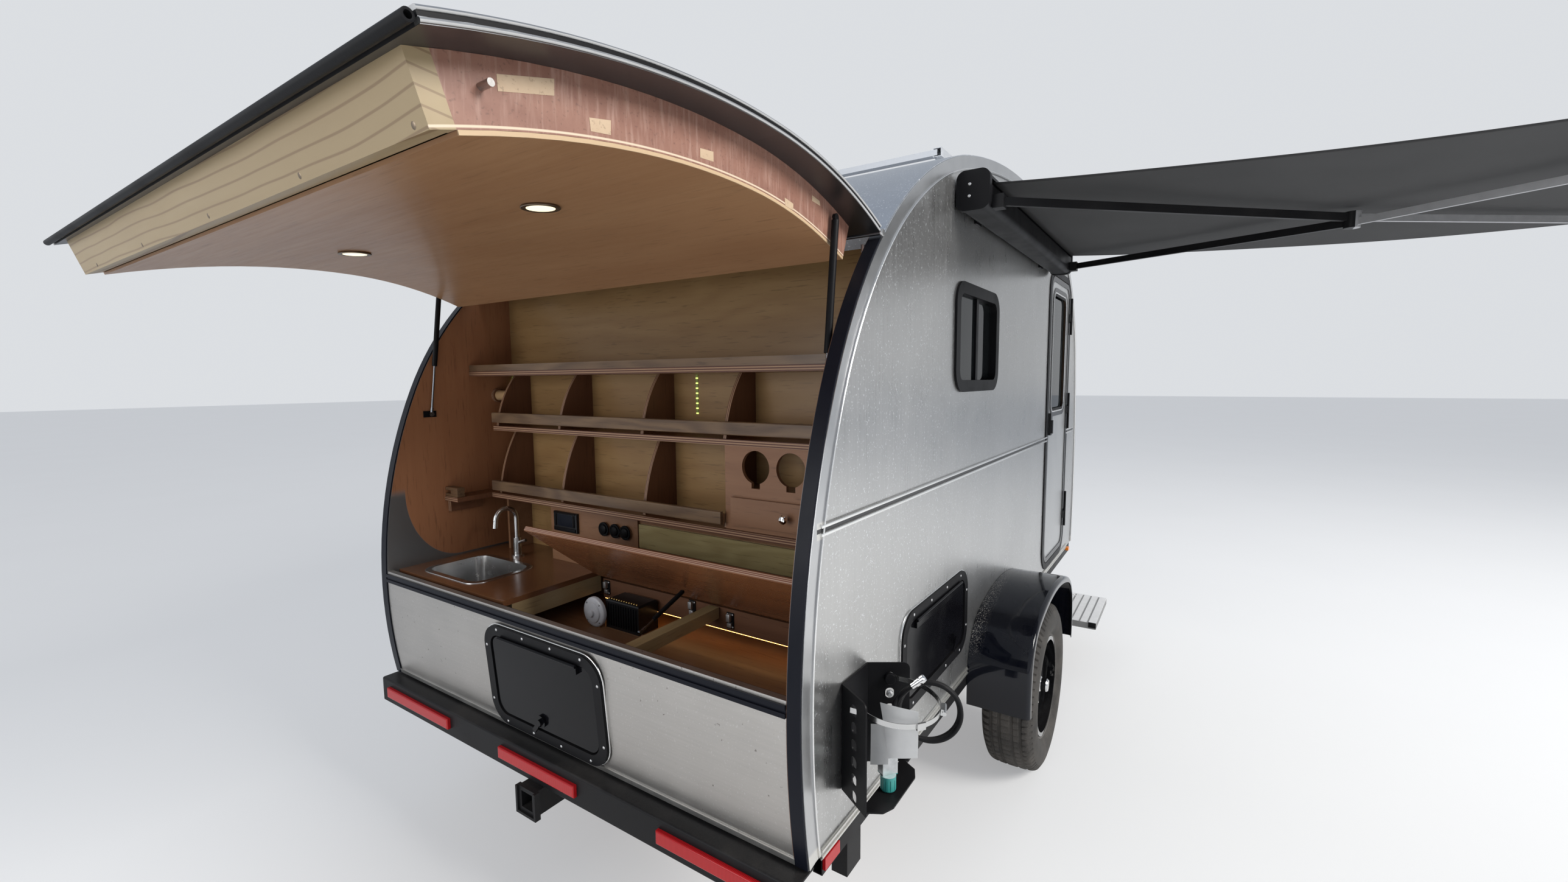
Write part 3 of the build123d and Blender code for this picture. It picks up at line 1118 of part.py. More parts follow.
def roof_rack():
    """A tubular rack on four posts."""
    x0, x1 = RACK_X
    rack = None
    for _, sign in SIDES:
        start, stop = (x0, sign * RACK_Y, RACK_Z), (x1, sign * RACK_Y, RACK_Z)
        rail = square_bar(start, stop, RACK_TUBE, RACK_TUBE, 3)
        rack = rail if rack is None else rack + rail
    for x in (x0 + RACK_TUBE / 2, (x0 + x1) / 2, x1 - RACK_TUBE / 2):
        rack += square_bar((x, -RACK_Y, RACK_Z), (x, RACK_Y, RACK_Z), RACK_TUBE, 25, 3)
    for x in (x0 + 60, x1 - 60):
        roof = max(BODY.height(CREST, x + step) for step in (-45, 0, 45)) + SKIN + GAP
        for _, sign in SIDES:
            rack += side_block(sign, (x - 20, x + 20), (RACK_Y - 15, RACK_Y + 15), (roof, RACK_Z - 12))
            rack += side_block(sign, (x - 45, x + 45), (RACK_Y - 30, RACK_Y + 30), (roof, roof + 6))
    return rack


def strut_brackets():
    """The wall plates of the hatch struts, each with a short ball stud beside the rod's eye."""
    plates = []
    x, z = STRUT_FOOT
    half = STRUT_PLATE / 2
    for _, sign in SIDES:
        plate = side_block(sign, (x - 2 * half, x + 2 * half), (INNER - 3, INNER - GAP), (z - half, z + half))
        plates.append(plate + rod((x, sign * (INNER - 2), z), (x, sign * STUD_TIP, z), STUD_RADIUS))
    return plates


def gas_bracket():
    """A folded V cradle on the right wall, its flared wings slotted for the strap, over a tray."""
    low, high = GAS_Z
    half = GAS_SHEET / 2
    sheet_y = (GAS_WALL_Y - half, GAS_WALL_Y + half)
    bracket = block((GAS_X - GAS_BACK, GAS_X + GAS_BACK), sheet_y, GAS_Z)
    width, height, radius, spacing = GAS_SLOT
    for side in (-1, 1):
        fold = (GAS_X + side * GAS_BACK, GAS_WALL_Y, 0)
        along = (side * GAS_WING[0], GAS_WING[1], 0)
        plane = Plane(origin=fold, x_dir=along, z_dir=Vector(*along).cross(Vector(0, 0, 1)))
        face = Pos(GAS_LENGTH / 2, (low + high) / 2) * Rectangle(GAS_LENGTH, high - low)
        corners = face.vertices().group_by(Axis.X)[-1].sort_by(Axis.Y)[-1:]
        face = fillet(corners, GAS_CORNER)
        for index in range(GAS_SLOTS):
            slot = RectangleRounded(width, height, radius)
            face -= Pos(GAS_SLOT_AT, GAS_SLOT_TOP - index * spacing) * slot
        bracket += extrude(plane * face, amount=half, both=True)
        bracket += disc(fold[0], fold[1], low, half, high - low)
    outline = [(GAS_X + x, y) for x, y in GAS_TRAY] + [(GAS_X - x, y) for x, y in reversed(GAS_TRAY)]
    tray = make_face(Polyline(*outline, close=True))
    front = tray.vertices().filter_by(lambda vertex: vertex.Y < -1010)
    return bracket + extrude(Pos(0, 0, low) * fillet(front, 9), amount=GAS_SHEET)


def strap_plane():
    """The slightly tilted plane in which the strap lies."""
    return Plane(origin=STRAP_CENTRE, x_dir=(1, 0, -STRAP_NORMAL[0]), z_dir=STRAP_NORMAL)


def gas_strap():
    """A stainless band round the front of the cradle, its tails through the wings, with its clamp."""
    thickness, width = STRAP_BAND
    tail_x, tail_y = STRAP_TAIL
    face = None
    ends = []
    for angle in (180 - STRAP_REACH, 270, 360 + STRAP_REACH):
        ends.append((STRAP_RADIUS * cos(radians(angle)), STRAP_RADIUS * sin(radians(angle))))
    outer = [(x * (1 + thickness / STRAP_RADIUS), y * (1 + thickness / STRAP_RADIUS)) for x, y in ends]
    left, right = (-tail_x, tail_y), (tail_x, tail_y)
    left_out, right_out = (-tail_x - thickness, tail_y), (tail_x + thickness, tail_y)
    face = make_face([
        ThreePointArc(*ends), Line(ends[-1], right), Line(right, right_out), Line(right_out, outer[-1]),
        ThreePointArc(*outer), Line(outer[0], left_out), Line(left_out, left), Line(left, ends[0]),
    ])
    plane = strap_plane()
    strap = extrude(plane * face, amount=width / 2, both=True)
    for at, size in ((BUCKLE_AT, (22, 5, 17)), (CLAMP_AT, (30, 8, 15))):
        seat = plane * Rot(0, 0, at) * Pos(STRAP_RADIUS + thickness + size[1] / 2 - 0.5, 0, 0)
        strap += seat * Box(size[1], size[0], size[2])
    screw = plane * Rot(0, 0, CLAMP_AT) * Pos(STRAP_RADIUS + 9, 0, 0) * Rot(90, 0, 0) * Cylinder(5, 40)
    return strap + screw


def gas_regulator():
    """The regulator that stands in the cradle: its bell, body and ribbed hand wheel."""
    x, y, _ = BELL_CENTRE
    bell = Plane(origin=BELL_CENTRE, z_dir=BELL_AXIS) * turned(BELL_PROFILE)
    body = Pos(x - 2, y - 2, 168) * Rot(0, 0, -37) * Box(40, 26, 44)
    knob_x, knob_y, knob_z = x - 10, y - 7, GAS_Z[0] + GAS_SHEET + GAP
    knob = disc(knob_x, knob_y, knob_z, 19, 38)
    knob = fillet(knob.edges().group_by(Axis.Z)[0], 5)
    for index in range(10):
        groove = Rot(0, 0, index * 36) * Pos(20, 0, 0) * Cylinder(2.5, 26, align=UPWARD)
        knob -= Pos(knob_x, knob_y, knob_z + 5) * groove
    return bell + body + knob + rod(INLET_FOOT, INLET_TIP, 8)


def coil_point(angle):
    """A point on the middle line of the hose's coil and the direction of the turns there."""
    a = radians(angle)
    across, up = Vector(*COIL_ACROSS), Vector(0, 0, 1)
    point = Vector(*COIL_CENTRE) + (across * cos(a) + up * sin(a)) * COIL_RADIUS
    return point, up * cos(a) - across * sin(a)


def gas_hose_coil():
    """The outer shape of the hose's three turns, hung on the strap."""
    axis = Vector(*COIL_ACROSS).cross(Vector(0, 0, 1))
    return Plane(origin=COIL_CENTRE, z_dir=axis) * Torus(COIL_RADIUS, COIL_SECTION)


def hose_route():
    """The hose's points from the coil to the regulator's inlet."""
    start, away = coil_point(COIL_EXIT)
    inlet = (Vector(*INLET_TIP) - Vector(*INLET_FOOT)).normalized()
    stop = Vector(*INLET_TIP)
    run = (stop - start).length * HOSE_RUN
    second, third = start + away * run, stop + inlet * run
    middle = (second + third) / 2 + Vector(*HOSE_BOW)
    return [start, second, middle, third, stop]


def gas_hose():
    """The free length of the hose between its coil and the regulator."""
    route = hose_route()
    radii = []
    for before, here, after in zip(route, route[1:], route[2:]):
        turn = radians((here - before).get_angle(after - here))
        shorter = min((here - before).length, (after - here).length)
        radii.append(0.45 * shorter / tan(turn / 2))
    print("hose radii", [round(radius, 1) for radius in radii])
    path = FilletPolyline(*route, radius=radii)
    section = Plane(origin=route[0], z_dir=route[1] - route[0]) * Circle(HOSE_RADIUS)
    hose = sweep(section, path=path)
    print("hose volume over section times length", hose.volume / (section.area * path.length))
    return hose


def each_side(make):
    """The solids of one function for both sides."""
    return [solid for _, sign in SIDES for solid in make(sign).solids()]


def opening_frames():
    """The black frames of the windows, the entry doors and the access doors."""
    return each_side(window_frame) + each_side(door_frame) + access_frames()


def strut_pair(name, y, top, foot, sizes):
    """The tube and rod of one strut, named."""
    tube, shaft = strut(y, top, foot, *sizes)
    return {name.replace("strut", "strut_tube"): tube, name.replace("strut", "strut_rod"): shaft}


def everything():
    """Each node's name and its solids."""
    shapes = {}
    for name, sign in SIDES:
        shapes["side_wall_" + name] = side_wall(name, sign)
        shapes["entry_door_" + name] = entry_door(sign)
        shapes["door_glass_" + name] = door_glass(sign)
        shapes["fender_" + name] = fender(sign)
        shapes["tyre_" + name] = tyre(sign)
        shapes["wheel_" + name] = wheel(sign)
        shapes.update(strut_pair("hatch_strut_" + name, sign * STRUT_Y, STRUT_TOP, STRUT_FOOT, HATCH_STRUT))
    shapes.update(strut_pair("lid_strut", LID_STRUT_Y, *lid_strut_pivots(), LID_STRUT))
    for make in (door_step, side_sill):
        shapes[make.__name__ + "s"] = each_side(make)
    for make in (roof_shell, cabin_floor, bulkhead, rear_panel, hatch_seal, body_trims, opening_frames,
                 window_panes, galley_shelves, fiddle_rails, galley_cabinet, drawer, galley_back, counter,
                 galley_well, sink, counter_lid, strut_brackets, hatch_skin, hatch_frame, hatch_liner,
                 access_door_side, access_door_rear, axle, chassis, coupler, jack_tube, jack_leg, bumper,
                 tail_lamps, awning_case, awning_arms, awning_fabric, roof_rack, gas_bracket, gas_strap,
                 gas_regulator, gas_hose_coil, gas_hose):
        shapes[make.__name__] = make()
    return shapes


def solids_of(shape):
    """All solids of a shape or a list of shapes."""
    shapes = shape if isinstance(shape, list) else [shape]
    return [solid for one in shapes for solid in one.solids()]


nodes = {name: Compound(solids_of(shape)) for name, shape in everything().items()}
whole = Compound(list(nodes.values())).bounding_box()
ORIGIN = Vector(whole.center().X, whole.center().Y, whole.min.Z)
for name, node in nodes.items():
    export_step(node.moved(Location(-ORIGIN)), f"parts/{name}.step")
print("origin in the working frame", ORIGIN, "size", whole.size)
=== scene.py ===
# %% [markdown]
# # Teardrop trailer: looks over a fixed frame
# The solid model arrives with every part in place. This lesson gives each part its finish and adds
# what is too fine or too soft for a solid. Everything is in metres, with the origin on the ground
# under the middle of the whole trailer.

# %% Load the frame
import bpy
import bmesh
from math import cos, pi, radians, sin
from mathutils import Matrix, Vector


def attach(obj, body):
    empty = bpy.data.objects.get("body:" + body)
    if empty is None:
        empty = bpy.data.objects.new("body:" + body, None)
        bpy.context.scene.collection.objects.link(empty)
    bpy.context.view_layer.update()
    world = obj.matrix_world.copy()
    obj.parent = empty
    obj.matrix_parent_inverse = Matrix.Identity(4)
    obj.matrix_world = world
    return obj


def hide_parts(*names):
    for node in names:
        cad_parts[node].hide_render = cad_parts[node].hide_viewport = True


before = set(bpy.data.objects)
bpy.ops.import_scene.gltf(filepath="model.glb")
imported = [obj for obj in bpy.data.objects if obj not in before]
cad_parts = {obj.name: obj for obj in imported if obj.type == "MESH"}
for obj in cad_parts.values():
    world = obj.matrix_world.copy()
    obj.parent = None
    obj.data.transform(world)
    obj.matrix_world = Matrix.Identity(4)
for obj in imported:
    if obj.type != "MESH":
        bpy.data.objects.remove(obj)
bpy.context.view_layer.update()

ORIGIN = Vector((1920.91, -916.5, -537.0))
SIDES = (("right", -1), ("left", 1))
UP = Vector((0, 0, 1))


def at(x, y, z):
    """A point in mm, measured forward, left and up from the foot of the rear panel, in metres here."""
    return (Vector((x, y, z)) - ORIGIN) / 1000


def fore(x):
    return (x - ORIGIN.x) / 1000


def aside(y):
    return (y - ORIGIN.y) / 1000


def high(z):
    return (z - ORIGIN.z) / 1000


# %% [markdown]
# ## Camera
# The photograph was taken from behind the right rear corner with a very wide lens. Its two vanishing
# points fix the focal length and the rotation, and the body's width fixes the distance. The matrix
# holds the camera's right, up and backward directions as columns.

# %% Camera
SENSOR_WIDTH, FOCAL_LENGTH, NEAREST = 36.0, 14.457, 0.05
CAMERA_PLACE = (-3.0429, -0.6745, 1.629)
CAMERA_TURN = ((0.5484, 0.0848, -0.8319, 0), (-0.8362, 0.0473, -0.5464, 0),
               (-0.0070, 0.9953, 0.0969, 0), (0, 0, 0, 1))
camera_data = bpy.data.cameras.new("camera")
camera_data.sensor_width = SENSOR_WIDTH
camera_data.lens = FOCAL_LENGTH
camera_data.clip_start = NEAREST
camera = bpy.data.objects.new("camera", camera_data)
bpy.context.scene.collection.objects.link(camera)
camera.matrix_world = Matrix.Translation(CAMERA_PLACE) @ Matrix(CAMERA_TURN)
bpy.context.scene.camera = camera
print("camera at", [round(value, 3) for value in camera.matrix_world.translation])

# %% [markdown]
# ## The gas hose
# A rubber hose comes first, because its length and route are facts. Three loose turns hang by the
# strap, and the free end goes down to the regulator. One smooth spline passes through all of it: the
# turns come from a loop, and the rest repeats the route's points from the solid model. The turns
# differ a little in radius and lie beside each other, as rubber does where nothing ties it.

# %% Hose route
HOSE_RADIUS = 0.0055
POINT_RADIUS = 0.01  # of each control point; the bevel is scaled to match, and the curve's box stays tight
COIL_CENTRE = at(300, -1078, 279)
COIL_ACROSS = Vector((0.363, -0.932, 0.0))
COIL_AXIS = Vector((-0.932, -0.363, 0.0))
COIL_RADIUS = 0.075
COIL_EXIT = 120.0  # how far round the coil the hose leaves it, in degrees
LOOSER, SWELL, SPREAD = 0.0012, 0.0062, 0.0085  # how the turns stand out, vary and lie beside each other
INLET_FOOT, INLET_TIP = at(216, -1004.5, 236), at(231, -1003, 255)
HANDLE = 0.27  # length of the straight ends of the last run, as a share of it
BOW = Vector((0.0, 0.006, 0.002))
TURNS, STEPS = 3, 14


def coil_point(angle, radius=COIL_RADIUS, beside=0.0):
    """A point of the turns: an angle round the coil, its radius there and how far it lies beside."""
    a = radians(angle)
    return COIL_CENTRE + (COIL_ACROSS * cos(a) + UP * sin(a)) * radius + COIL_AXIS * beside


turns = []
for step in range(TURNS * STEPS):
    share = step / (TURNS * STEPS)
    loose = 1 - share
    radius = COIL_RADIUS + LOOSER + SWELL * sin(2.3 * step / STEPS * pi + 0.6) * loose
    turns.append(coil_point(COIL_EXIT - 360 * TURNS * loose, radius, SPREAD * loose * cos(5.1 * share * pi)))
start = coil_point(COIL_EXIT)
away = UP * cos(radians(COIL_EXIT)) - COIL_ACROSS * sin(radians(COIL_EXIT))
inlet = (INLET_TIP - INLET_FOOT).normalized()
run = (INLET_TIP - start).length * HANDLE
second, third = start + away * run, INLET_TIP + inlet * run
route = turns + [start, second, (second + third) / 2 + BOW, third, INLET_TIP]
print("hose route through", len(route), "points")

# %% Hose curve


def link(item):
    """Put an object into the scene."""
    bpy.context.scene.collection.objects.link(item)
    return item


hose_data = bpy.data.curves.new("hose", "CURVE")
hose_data.dimensions = "3D"
hose_data.bevel_depth = HOSE_RADIUS / POINT_RADIUS
hose_data.bevel_resolution = 5
hose_data.resolution_u = 6
hose_data.use_fill_caps = True
spline = hose_data.splines.new("NURBS")
spline.points.add(len(route) - 1)
for target, point in zip(spline.points, route):
    target.co = (*point, 1.0)
    target.radius = POINT_RADIUS
spline.order_u = 3
spline.use_endpoint_u = True
hose = link(bpy.data.objects.new("hose", hose_data))
hose_length = 2 * pi * COIL_RADIUS * TURNS + sum((b - a).length for a, b in zip(route[-5:], route[-4:]))
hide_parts("gas_hose", "gas_hose_coil")
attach(hose, "trailer")
print("hose about", round(hose_length, 3), "m")

# %% [markdown]
# ## Shader maths
# A finish is easier to read as an expression than as a web of nodes. The class below wraps a socket,
# and each operator adds the node that does the sum. Every other node comes from one method. The
# colours of the stage are written as they look in a picture, 0 to 255.

# %% Signals and finishes


class Signal:
    """A socket that adds Math nodes when it stands in an expression."""

    def __init__(self, finish, socket):
        self.finish = finish
        self.socket = socket

    def math(self, operation, *values):
        return self.finish.node("ShaderNodeMath", {"operation": operation}, dict(enumerate(values)))

    def __add__(self, other):
        return self.math("ADD", self, other)

    def __sub__(self, other):
        return self.math("SUBTRACT", self, other)

    def __rsub__(self, other):
        return self.math("SUBTRACT", other, self)

    def __mul__(self, other):
        return self.math("MULTIPLY", self, other)

    __radd__ = __add__
    __rmul__ = __mul__

    def sine(self):
        return self.math("SINE", self)

    def size(self):
        return self.math("ABSOLUTE", self)

    def root(self):
        return self.math("SQRT", self)

    def least(self, other):
        return self.math("MINIMUM", self, other)

    def most(self, other):
        return self.math("MAXIMUM", self, other)

    def rise(self, low, high):
        """0 below low, 1 above high, smooth between them; high may be the smaller."""
        sockets = {"Value": self, "From Min": low, "From Max": high}
        return self.finish.node("ShaderNodeMapRange", {"interpolation_type": "SMOOTHSTEP"}, sockets)

    def within(self, low, high, soft=0.0005):
        """1 between two values, 0 outside them."""
        return self.rise(low - soft, low + soft) * self.rise(high + soft, high - soft)

    def waves(self, length):
        """0 to 1 and back once in each length."""
        return (self * (2 * pi / length)).sine() * 0.5 + 0.5


class Recipe:
    """A node tree with one shader, and the one method that adds nodes to it."""

    def __init__(self, tree, shader):
        self.tree = tree
        self.shader = shader

    def feed(self, socket, value):
        if isinstance(value, Signal):
            self.tree.links.new(value.socket, socket)
        elif hasattr(value, "__len__") and len(value) == 3 and len(socket.default_value) == 4:
            socket.default_value = (*value, 1.0)
        else:
            socket.default_value = value

    def node(self, kind, settings=None, sockets=None, output=0):
        """A node of that type: its settings first, then its sockets' values or links."""
        made = self.tree.nodes.new(kind)
        for name, value in (settings or {}).items():
            if name == "stops":
                while len(made.color_ramp.elements) < len(value):
                    made.color_ramp.elements.new(0.5)
                for element, (place, colour) in zip(made.color_ramp.elements, value):
                    element.position = place
                    element.color = (*colour, 1.0)
            else:
                setattr(made, name, value)
        for name, value in (sockets or {}).items():
            self.feed(made.inputs[name], value)
        return Signal(self, made.outputs[output])

    def set(self, **sockets):
        """Give the shader's sockets a value or a signal; an underscore stands for a space."""
        for name, value in sockets.items():
            self.feed(self.shader.inputs[name.replace("_", " ").title().replace("Ior", "IOR")], value)

    def place(self, output="Object"):
        """Where the surface is, in the frame that the part was drawn in, or another such vector."""
        return self.node("ShaderNodeTexCoord", output=output)

    def axes(self, vector=None):
        """The three numbers of a vector."""
        outputs = self.node("ShaderNodeSeparateXYZ", None, {0: vector or self.place()}).socket.node.outputs
        return [Signal(self, outputs[index]) for index in range(3)]

    def facing(self):
        """The three numbers of the direction that the surface looks in."""
        return self.axes(self.place("Normal"))

    def off_centre(self):
        """How far the place lies from the trailer's middle plane, on either side."""
        return (self.axes()[1] - aside(0)).size()

    def from_line(self, x, z):
        """How far the place lies from a line across the trailer, which is given in mm."""
        here, _, up = self.axes()
        across, above = here - fore(x), up - high(z)
        return (across * across + above * above).root()

    def along(self, direction, vector=None):
        """How far the place lies along a direction."""
        sockets = {0: vector or self.place(), 1: direction}
        return self.node("ShaderNodeVectorMath", {"operation": "DOT_PRODUCT"}, sockets, output=1)

    def noise(self, scale, factors=(1, 1, 1), detail=4.0, roughness=0.55):
        """Noise whose cells are stretched by a factor along each axis."""
        stretched = self.node("ShaderNodeVectorMath", {"operation": "MULTIPLY"}, {0: self.place(), 1: factors})
        sockets = {"Vector": stretched, "Scale": scale, "Detail": detail, "Roughness": roughness}
        return self.node("ShaderNodeTexNoise", None, sockets)

    def mix(self, factor, first, second):
        return self.node("ShaderNodeMix", {"data_type": "RGBA"}, {0: factor, 6: first, 7: second}, output=2)


class Finish(Recipe):
    """One material of the trailer."""

    def __init__(self, name, **fixed):
        self.material = bpy.data.materials.new(name)
        self.material.use_nodes = True
        tree = self.material.node_tree
        super().__init__(tree, tree.nodes["Principled BSDF"])
        self.set(**fixed)

    def base(self, colour, rough, metal=0.0):
        """Start with a colour, a roughness and a metallic share."""
        self.colour, self.rough, self.metal = colour, rough, metal
        self.set(base_color=colour, roughness=rough, metallic=metal)

    def paint(self, mask, colour, rough=None, metal=None):
        """Lay another colour, and perhaps roughness and metallic share, over it where the mask is 1."""
        self.colour = self.mix(mask, self.colour, colour)
        if rough is not None:
            self.rough = self.rough + (rough - self.rough) * mask
        if metal is not None:
            self.metal = self.metal + (metal - self.metal) * mask
        self.set(base_color=self.colour, roughness=self.rough, metallic=self.metal)

    def bump(self, height, distance, strength=0.6):
        sockets = {"Height": height, "Distance": distance, "Strength": strength}
        self.set(normal=self.node("ShaderNodeBump", None, sockets))


def tint(red, green, blue):
    """A colour as it looks in a picture, 0 to 255, turned into light."""
    return tuple(((value / 255 + 0.055) / 1.055) ** 2.4 for value in (red, green, blue))


def scaled(colour, share):
    """A colour made darker or brighter, and never brighter than white paint."""
    return [min(value * share, 0.95) for value in colour]


dressed = set()


def dress(finish, *nodes):
    """Give solid parts a finish in place of their plain one."""
    dressed.update(nodes)
    for name in nodes:
        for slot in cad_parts[name].material_slots:
            slot.material = finish.material


def mottled(name, scale, dark, pale, rough, spread, metal=0.0, factors=(1, 1, 1), detail=4.0, **fixed):
    """A finish whose colour and roughness drift between two values."""
    made = Finish(name, **fixed)
    cloud = made.noise(scale, factors, detail)
    made.base(made.mix(cloud, dark, pale), cloud * spread + rough, metal)
    return made


def glowing(name, base, strength, pattern, dim, full):
    """A finish that gives light, whose colour a pattern turns from dim to full."""
    made = Finish(name, base_color=base, roughness=0.4, emission_strength=strength)
    made.set(emission_color=made.mix(pattern(made), dim, full))
    return made


print("a mid grey is", [round(value, 3) for value in tint(128, 128, 128)])

# %% [markdown]
# ## Ways to make a piece
# Four ways make nearly everything that is added. Fittings are profiles spun round an axis. Bars and
# plates are blocks whose edges are rounded, because no real edge is sharp and the rounding catches
# the light. Trim is a profile swept along the body's outline. Screws are many small domes in one mesh.

# %% Piece makers
SMALLEST = 0.02  # radius in mm of the ring where a profile meets its axis
CORNERS = ((0, 0, 0), (1, 0, 0), (1, 1, 0), (0, 1, 0), (0, 0, 1), (1, 0, 1), (1, 1, 1), (0, 1, 1))
FACES = ((0, 3, 2, 1), (4, 5, 6, 7), (0, 1, 5, 4), (1, 2, 6, 5), (2, 3, 7, 6), (3, 0, 4, 7))


def finished(name, shape, finish, slot, body="trailer", sharp=40):
    """Turn a bmesh into a named piece with its finish and the body that it rides on. The slot is not used."""
    mesh = bpy.data.meshes.new(name)
    bmesh.ops.recalc_face_normals(shape, faces=shape.faces)
    for face in shape.faces:
        face.smooth = True
    shape.to_mesh(mesh)
    shape.free()
    mesh.set_sharp_from_angle(angle=radians(sharp))
    piece = link(bpy.data.objects.new(name, mesh))
    mesh.materials.append(finish.material)
    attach(piece, body)
    return piece


def join(shape, rings, closed=False):
    """Skin a row of equal rings, and cap its ends or close it into a loop."""
    pairs = list(zip(rings, rings[1:])) + ([(rings[-1], rings[0])] if closed else [])
    for lower, upper in pairs:
        for index in range(len(lower)):
            after = (index + 1) % len(lower)
            shape.faces.new((lower[index], lower[after], upper[after], upper[index]))
    if not closed:
        shape.faces.new(list(reversed(rings[0])))
        shape.faces.new(rings[-1])


def spin(shape, profile, foot, axis, sides=32):
    """Spin (length, radius) pairs in mm round an axis that starts at a foot."""
    axis = Vector(axis).normalized()
    across = axis.orthogonal().normalized()
    other = axis.cross(across)
    rings = []
    for length, radius in profile:
        ring = []
        for side in range(sides):
            a = 2 * pi * side / sides
            spoke = (across * cos(a) + other * sin(a)) * max(radius, SMALLEST) / 1000
            ring.append(shape.verts.new(foot + axis * (length / 1000) + spoke))
        rings.append(ring)
    join(shape, rings)


def turned(name, profile, foot, axis, finish, slot, body="trailer", sides=32):
    """One turned piece."""
    shape = bmesh.new()
    spin(shape, profile, foot, axis, sides)
    return finished(name, shape, finish, slot, body)


def studs(name, feet, axis, radius, height, finish, slot, body="trailer"):
    """Many small round heads in one mesh, all facing the same way."""
    shape = bmesh.new()
    profile = [(-1.0, radius * 0.9), (0.0, radius), (height * 0.5, radius * 0.86), (height, radius * 0.45)]
    for foot in feet:
        spin(shape, profile, foot, axis, 12)
    return finished(name, shape, finish, slot, body, sharp=70)


def blocks(name, boxes, finish, slot, body="trailer", bevel=1.5):
    """Blocks with rounded edges in one mesh, each from its limits in x, y and z in mm."""
    shape = bmesh.new()
    for x, y, z in boxes:
        made = [shape.verts.new(at(x[a], y[b], z[c])) for a, b, c in CORNERS]
        for face in FACES:
            shape.faces.new([made[index] for index in face])
    bmesh.ops.bevel(shape, geom=shape.edges[:], offset=bevel / 1000, segments=2, profile=0.6, affect="EDGES")
    return finished(name, shape, finish, slot, body, sharp=50)


def either(sign, near, far):
    """Limits at two distances from the middle plane, on the right (-1) or the left (1)."""
    return sorted((sign * near, sign * far))


# %% [markdown]
# The body's outline is eight arcs that meet without a corner. The same arcs place the seal, the
# mouldings and the hatch's trim, so they repeat here. The hatch is drawn shut and then turned about
# its hinge, as the solid model does.

# %% The body's outline
HALF = 914.5
ARCS = ((1897.0, 12.1), (1897.0, 20.7), (1225.0, 21.5), (1225.0, 11.4),
        (1552.0, 20.0), (3480.0, 28.5), (836.0, 62.7), (3535.0, 20.0))  # radius in mm, turn in degrees
REAR, HATCH_LOW, HATCH_HIGH, ROOF_REAR = range(4)
NOSE = len(ARCS) - 1
FIRST_HEADING, FIRST_CORNER = 100.3, (-3.0, 0.0)
HATCH_OPEN = radians(69.3)
HINGE_ABOVE = 9.5  # mm from the outline to the hinge's axis
centres = []
heading, corner = FIRST_HEADING, FIRST_CORNER
for radius, turn in ARCS:
    a = radians(heading)
    centre = (corner[0] + radius * sin(a), corner[1] - radius * cos(a))
    centres.append((centre, radius, heading))
    heading -= turn
    corner = (centre[0] - radius * sin(radians(heading)), centre[1] + radius * cos(radians(heading)))


def outline(arc, length, inset=0.0):
    """A point of one arc, so many mm from its start, and so far inside it."""
    (cx, cz), radius, heading = centres[arc]
    a = radians(heading) - length / radius
    return cx - (radius - inset) * sin(a), cz + (radius - inset) * cos(a)


def arc_length(arc, angle=None):
    """How long an arc is, or its length up to where it has turned by an angle."""
    radius, turn = ARCS[arc]
    return radians(turn if angle is None else angle) * radius


def stations(first, last, trim=(0.0, 0.0), step=40.0):
    """Places along several arcs, as (arc, length) pairs."""
    result = []
    for arc in range(first, last + 1):
        low = trim[0] if arc == first else 0.0
        top = arc_length(arc) - (trim[1] if arc == last else 0.0)
        count = max(2, round((top - low) / step))
        result += [(arc, low + (top - low) * index / count) for index in range(count + (arc == last))]
    return result


hinge_x, hinge_z = outline(ROOF_REAR, 0.0, -HINGE_ABOVE)


def opened(x, z):
    """Where a point of the shut hatch lies with the hatch open."""
    dx, dz = x - hinge_x, z - hinge_z
    return (hinge_x + dx * cos(HATCH_OPEN) + dz * sin(HATCH_OPEN),
            hinge_z - dx * sin(HATCH_OPEN) + dz * cos(HATCH_OPEN))


def shut(arc, length, inset=0.0, y=0.0):
    """A point of the outline at a distance from the middle plane."""
    x, z = outline(arc, length, inset)
    return at(x, y, z)


def raised(arc, length, inset=0.0, y=0.0):
    """The same point of the hatch with the hatch open."""
    x, z = opened(*outline(arc, length, inset))
    return at(x, y, z)


def swept(name, profile, places, finish, slot, body="trailer", point=shut):
    """Sweep a closed (inset, distance from the middle plane) profile along the outline on both sides."""
    shape = bmesh.new()
    for _, sign in SIDES:
        join(shape, [[shape.verts.new(point(arc, length, inset, sign * reach)) for inset, reach in profile]
                     for arc, length in places])
    return finished(name, shape, finish, slot, body)


print("the outline ends at", [round(value) for value in corner])
print("the hinge is at", round(hinge_x), round(hinge_z))

# %% [markdown]
# ## Stage and light
# The floor and the sky are pale and plain. A wide soft key stands high at the right rear, a weaker
# fill behind the camera reaches into the galley, and the sky dims overhead and toward the nose, so
# that the aluminium has something to reflect. The power is low enough that pale surfaces keep their
# colour. The floor shows the camera some light of its own, which keeps it pale in the distance.

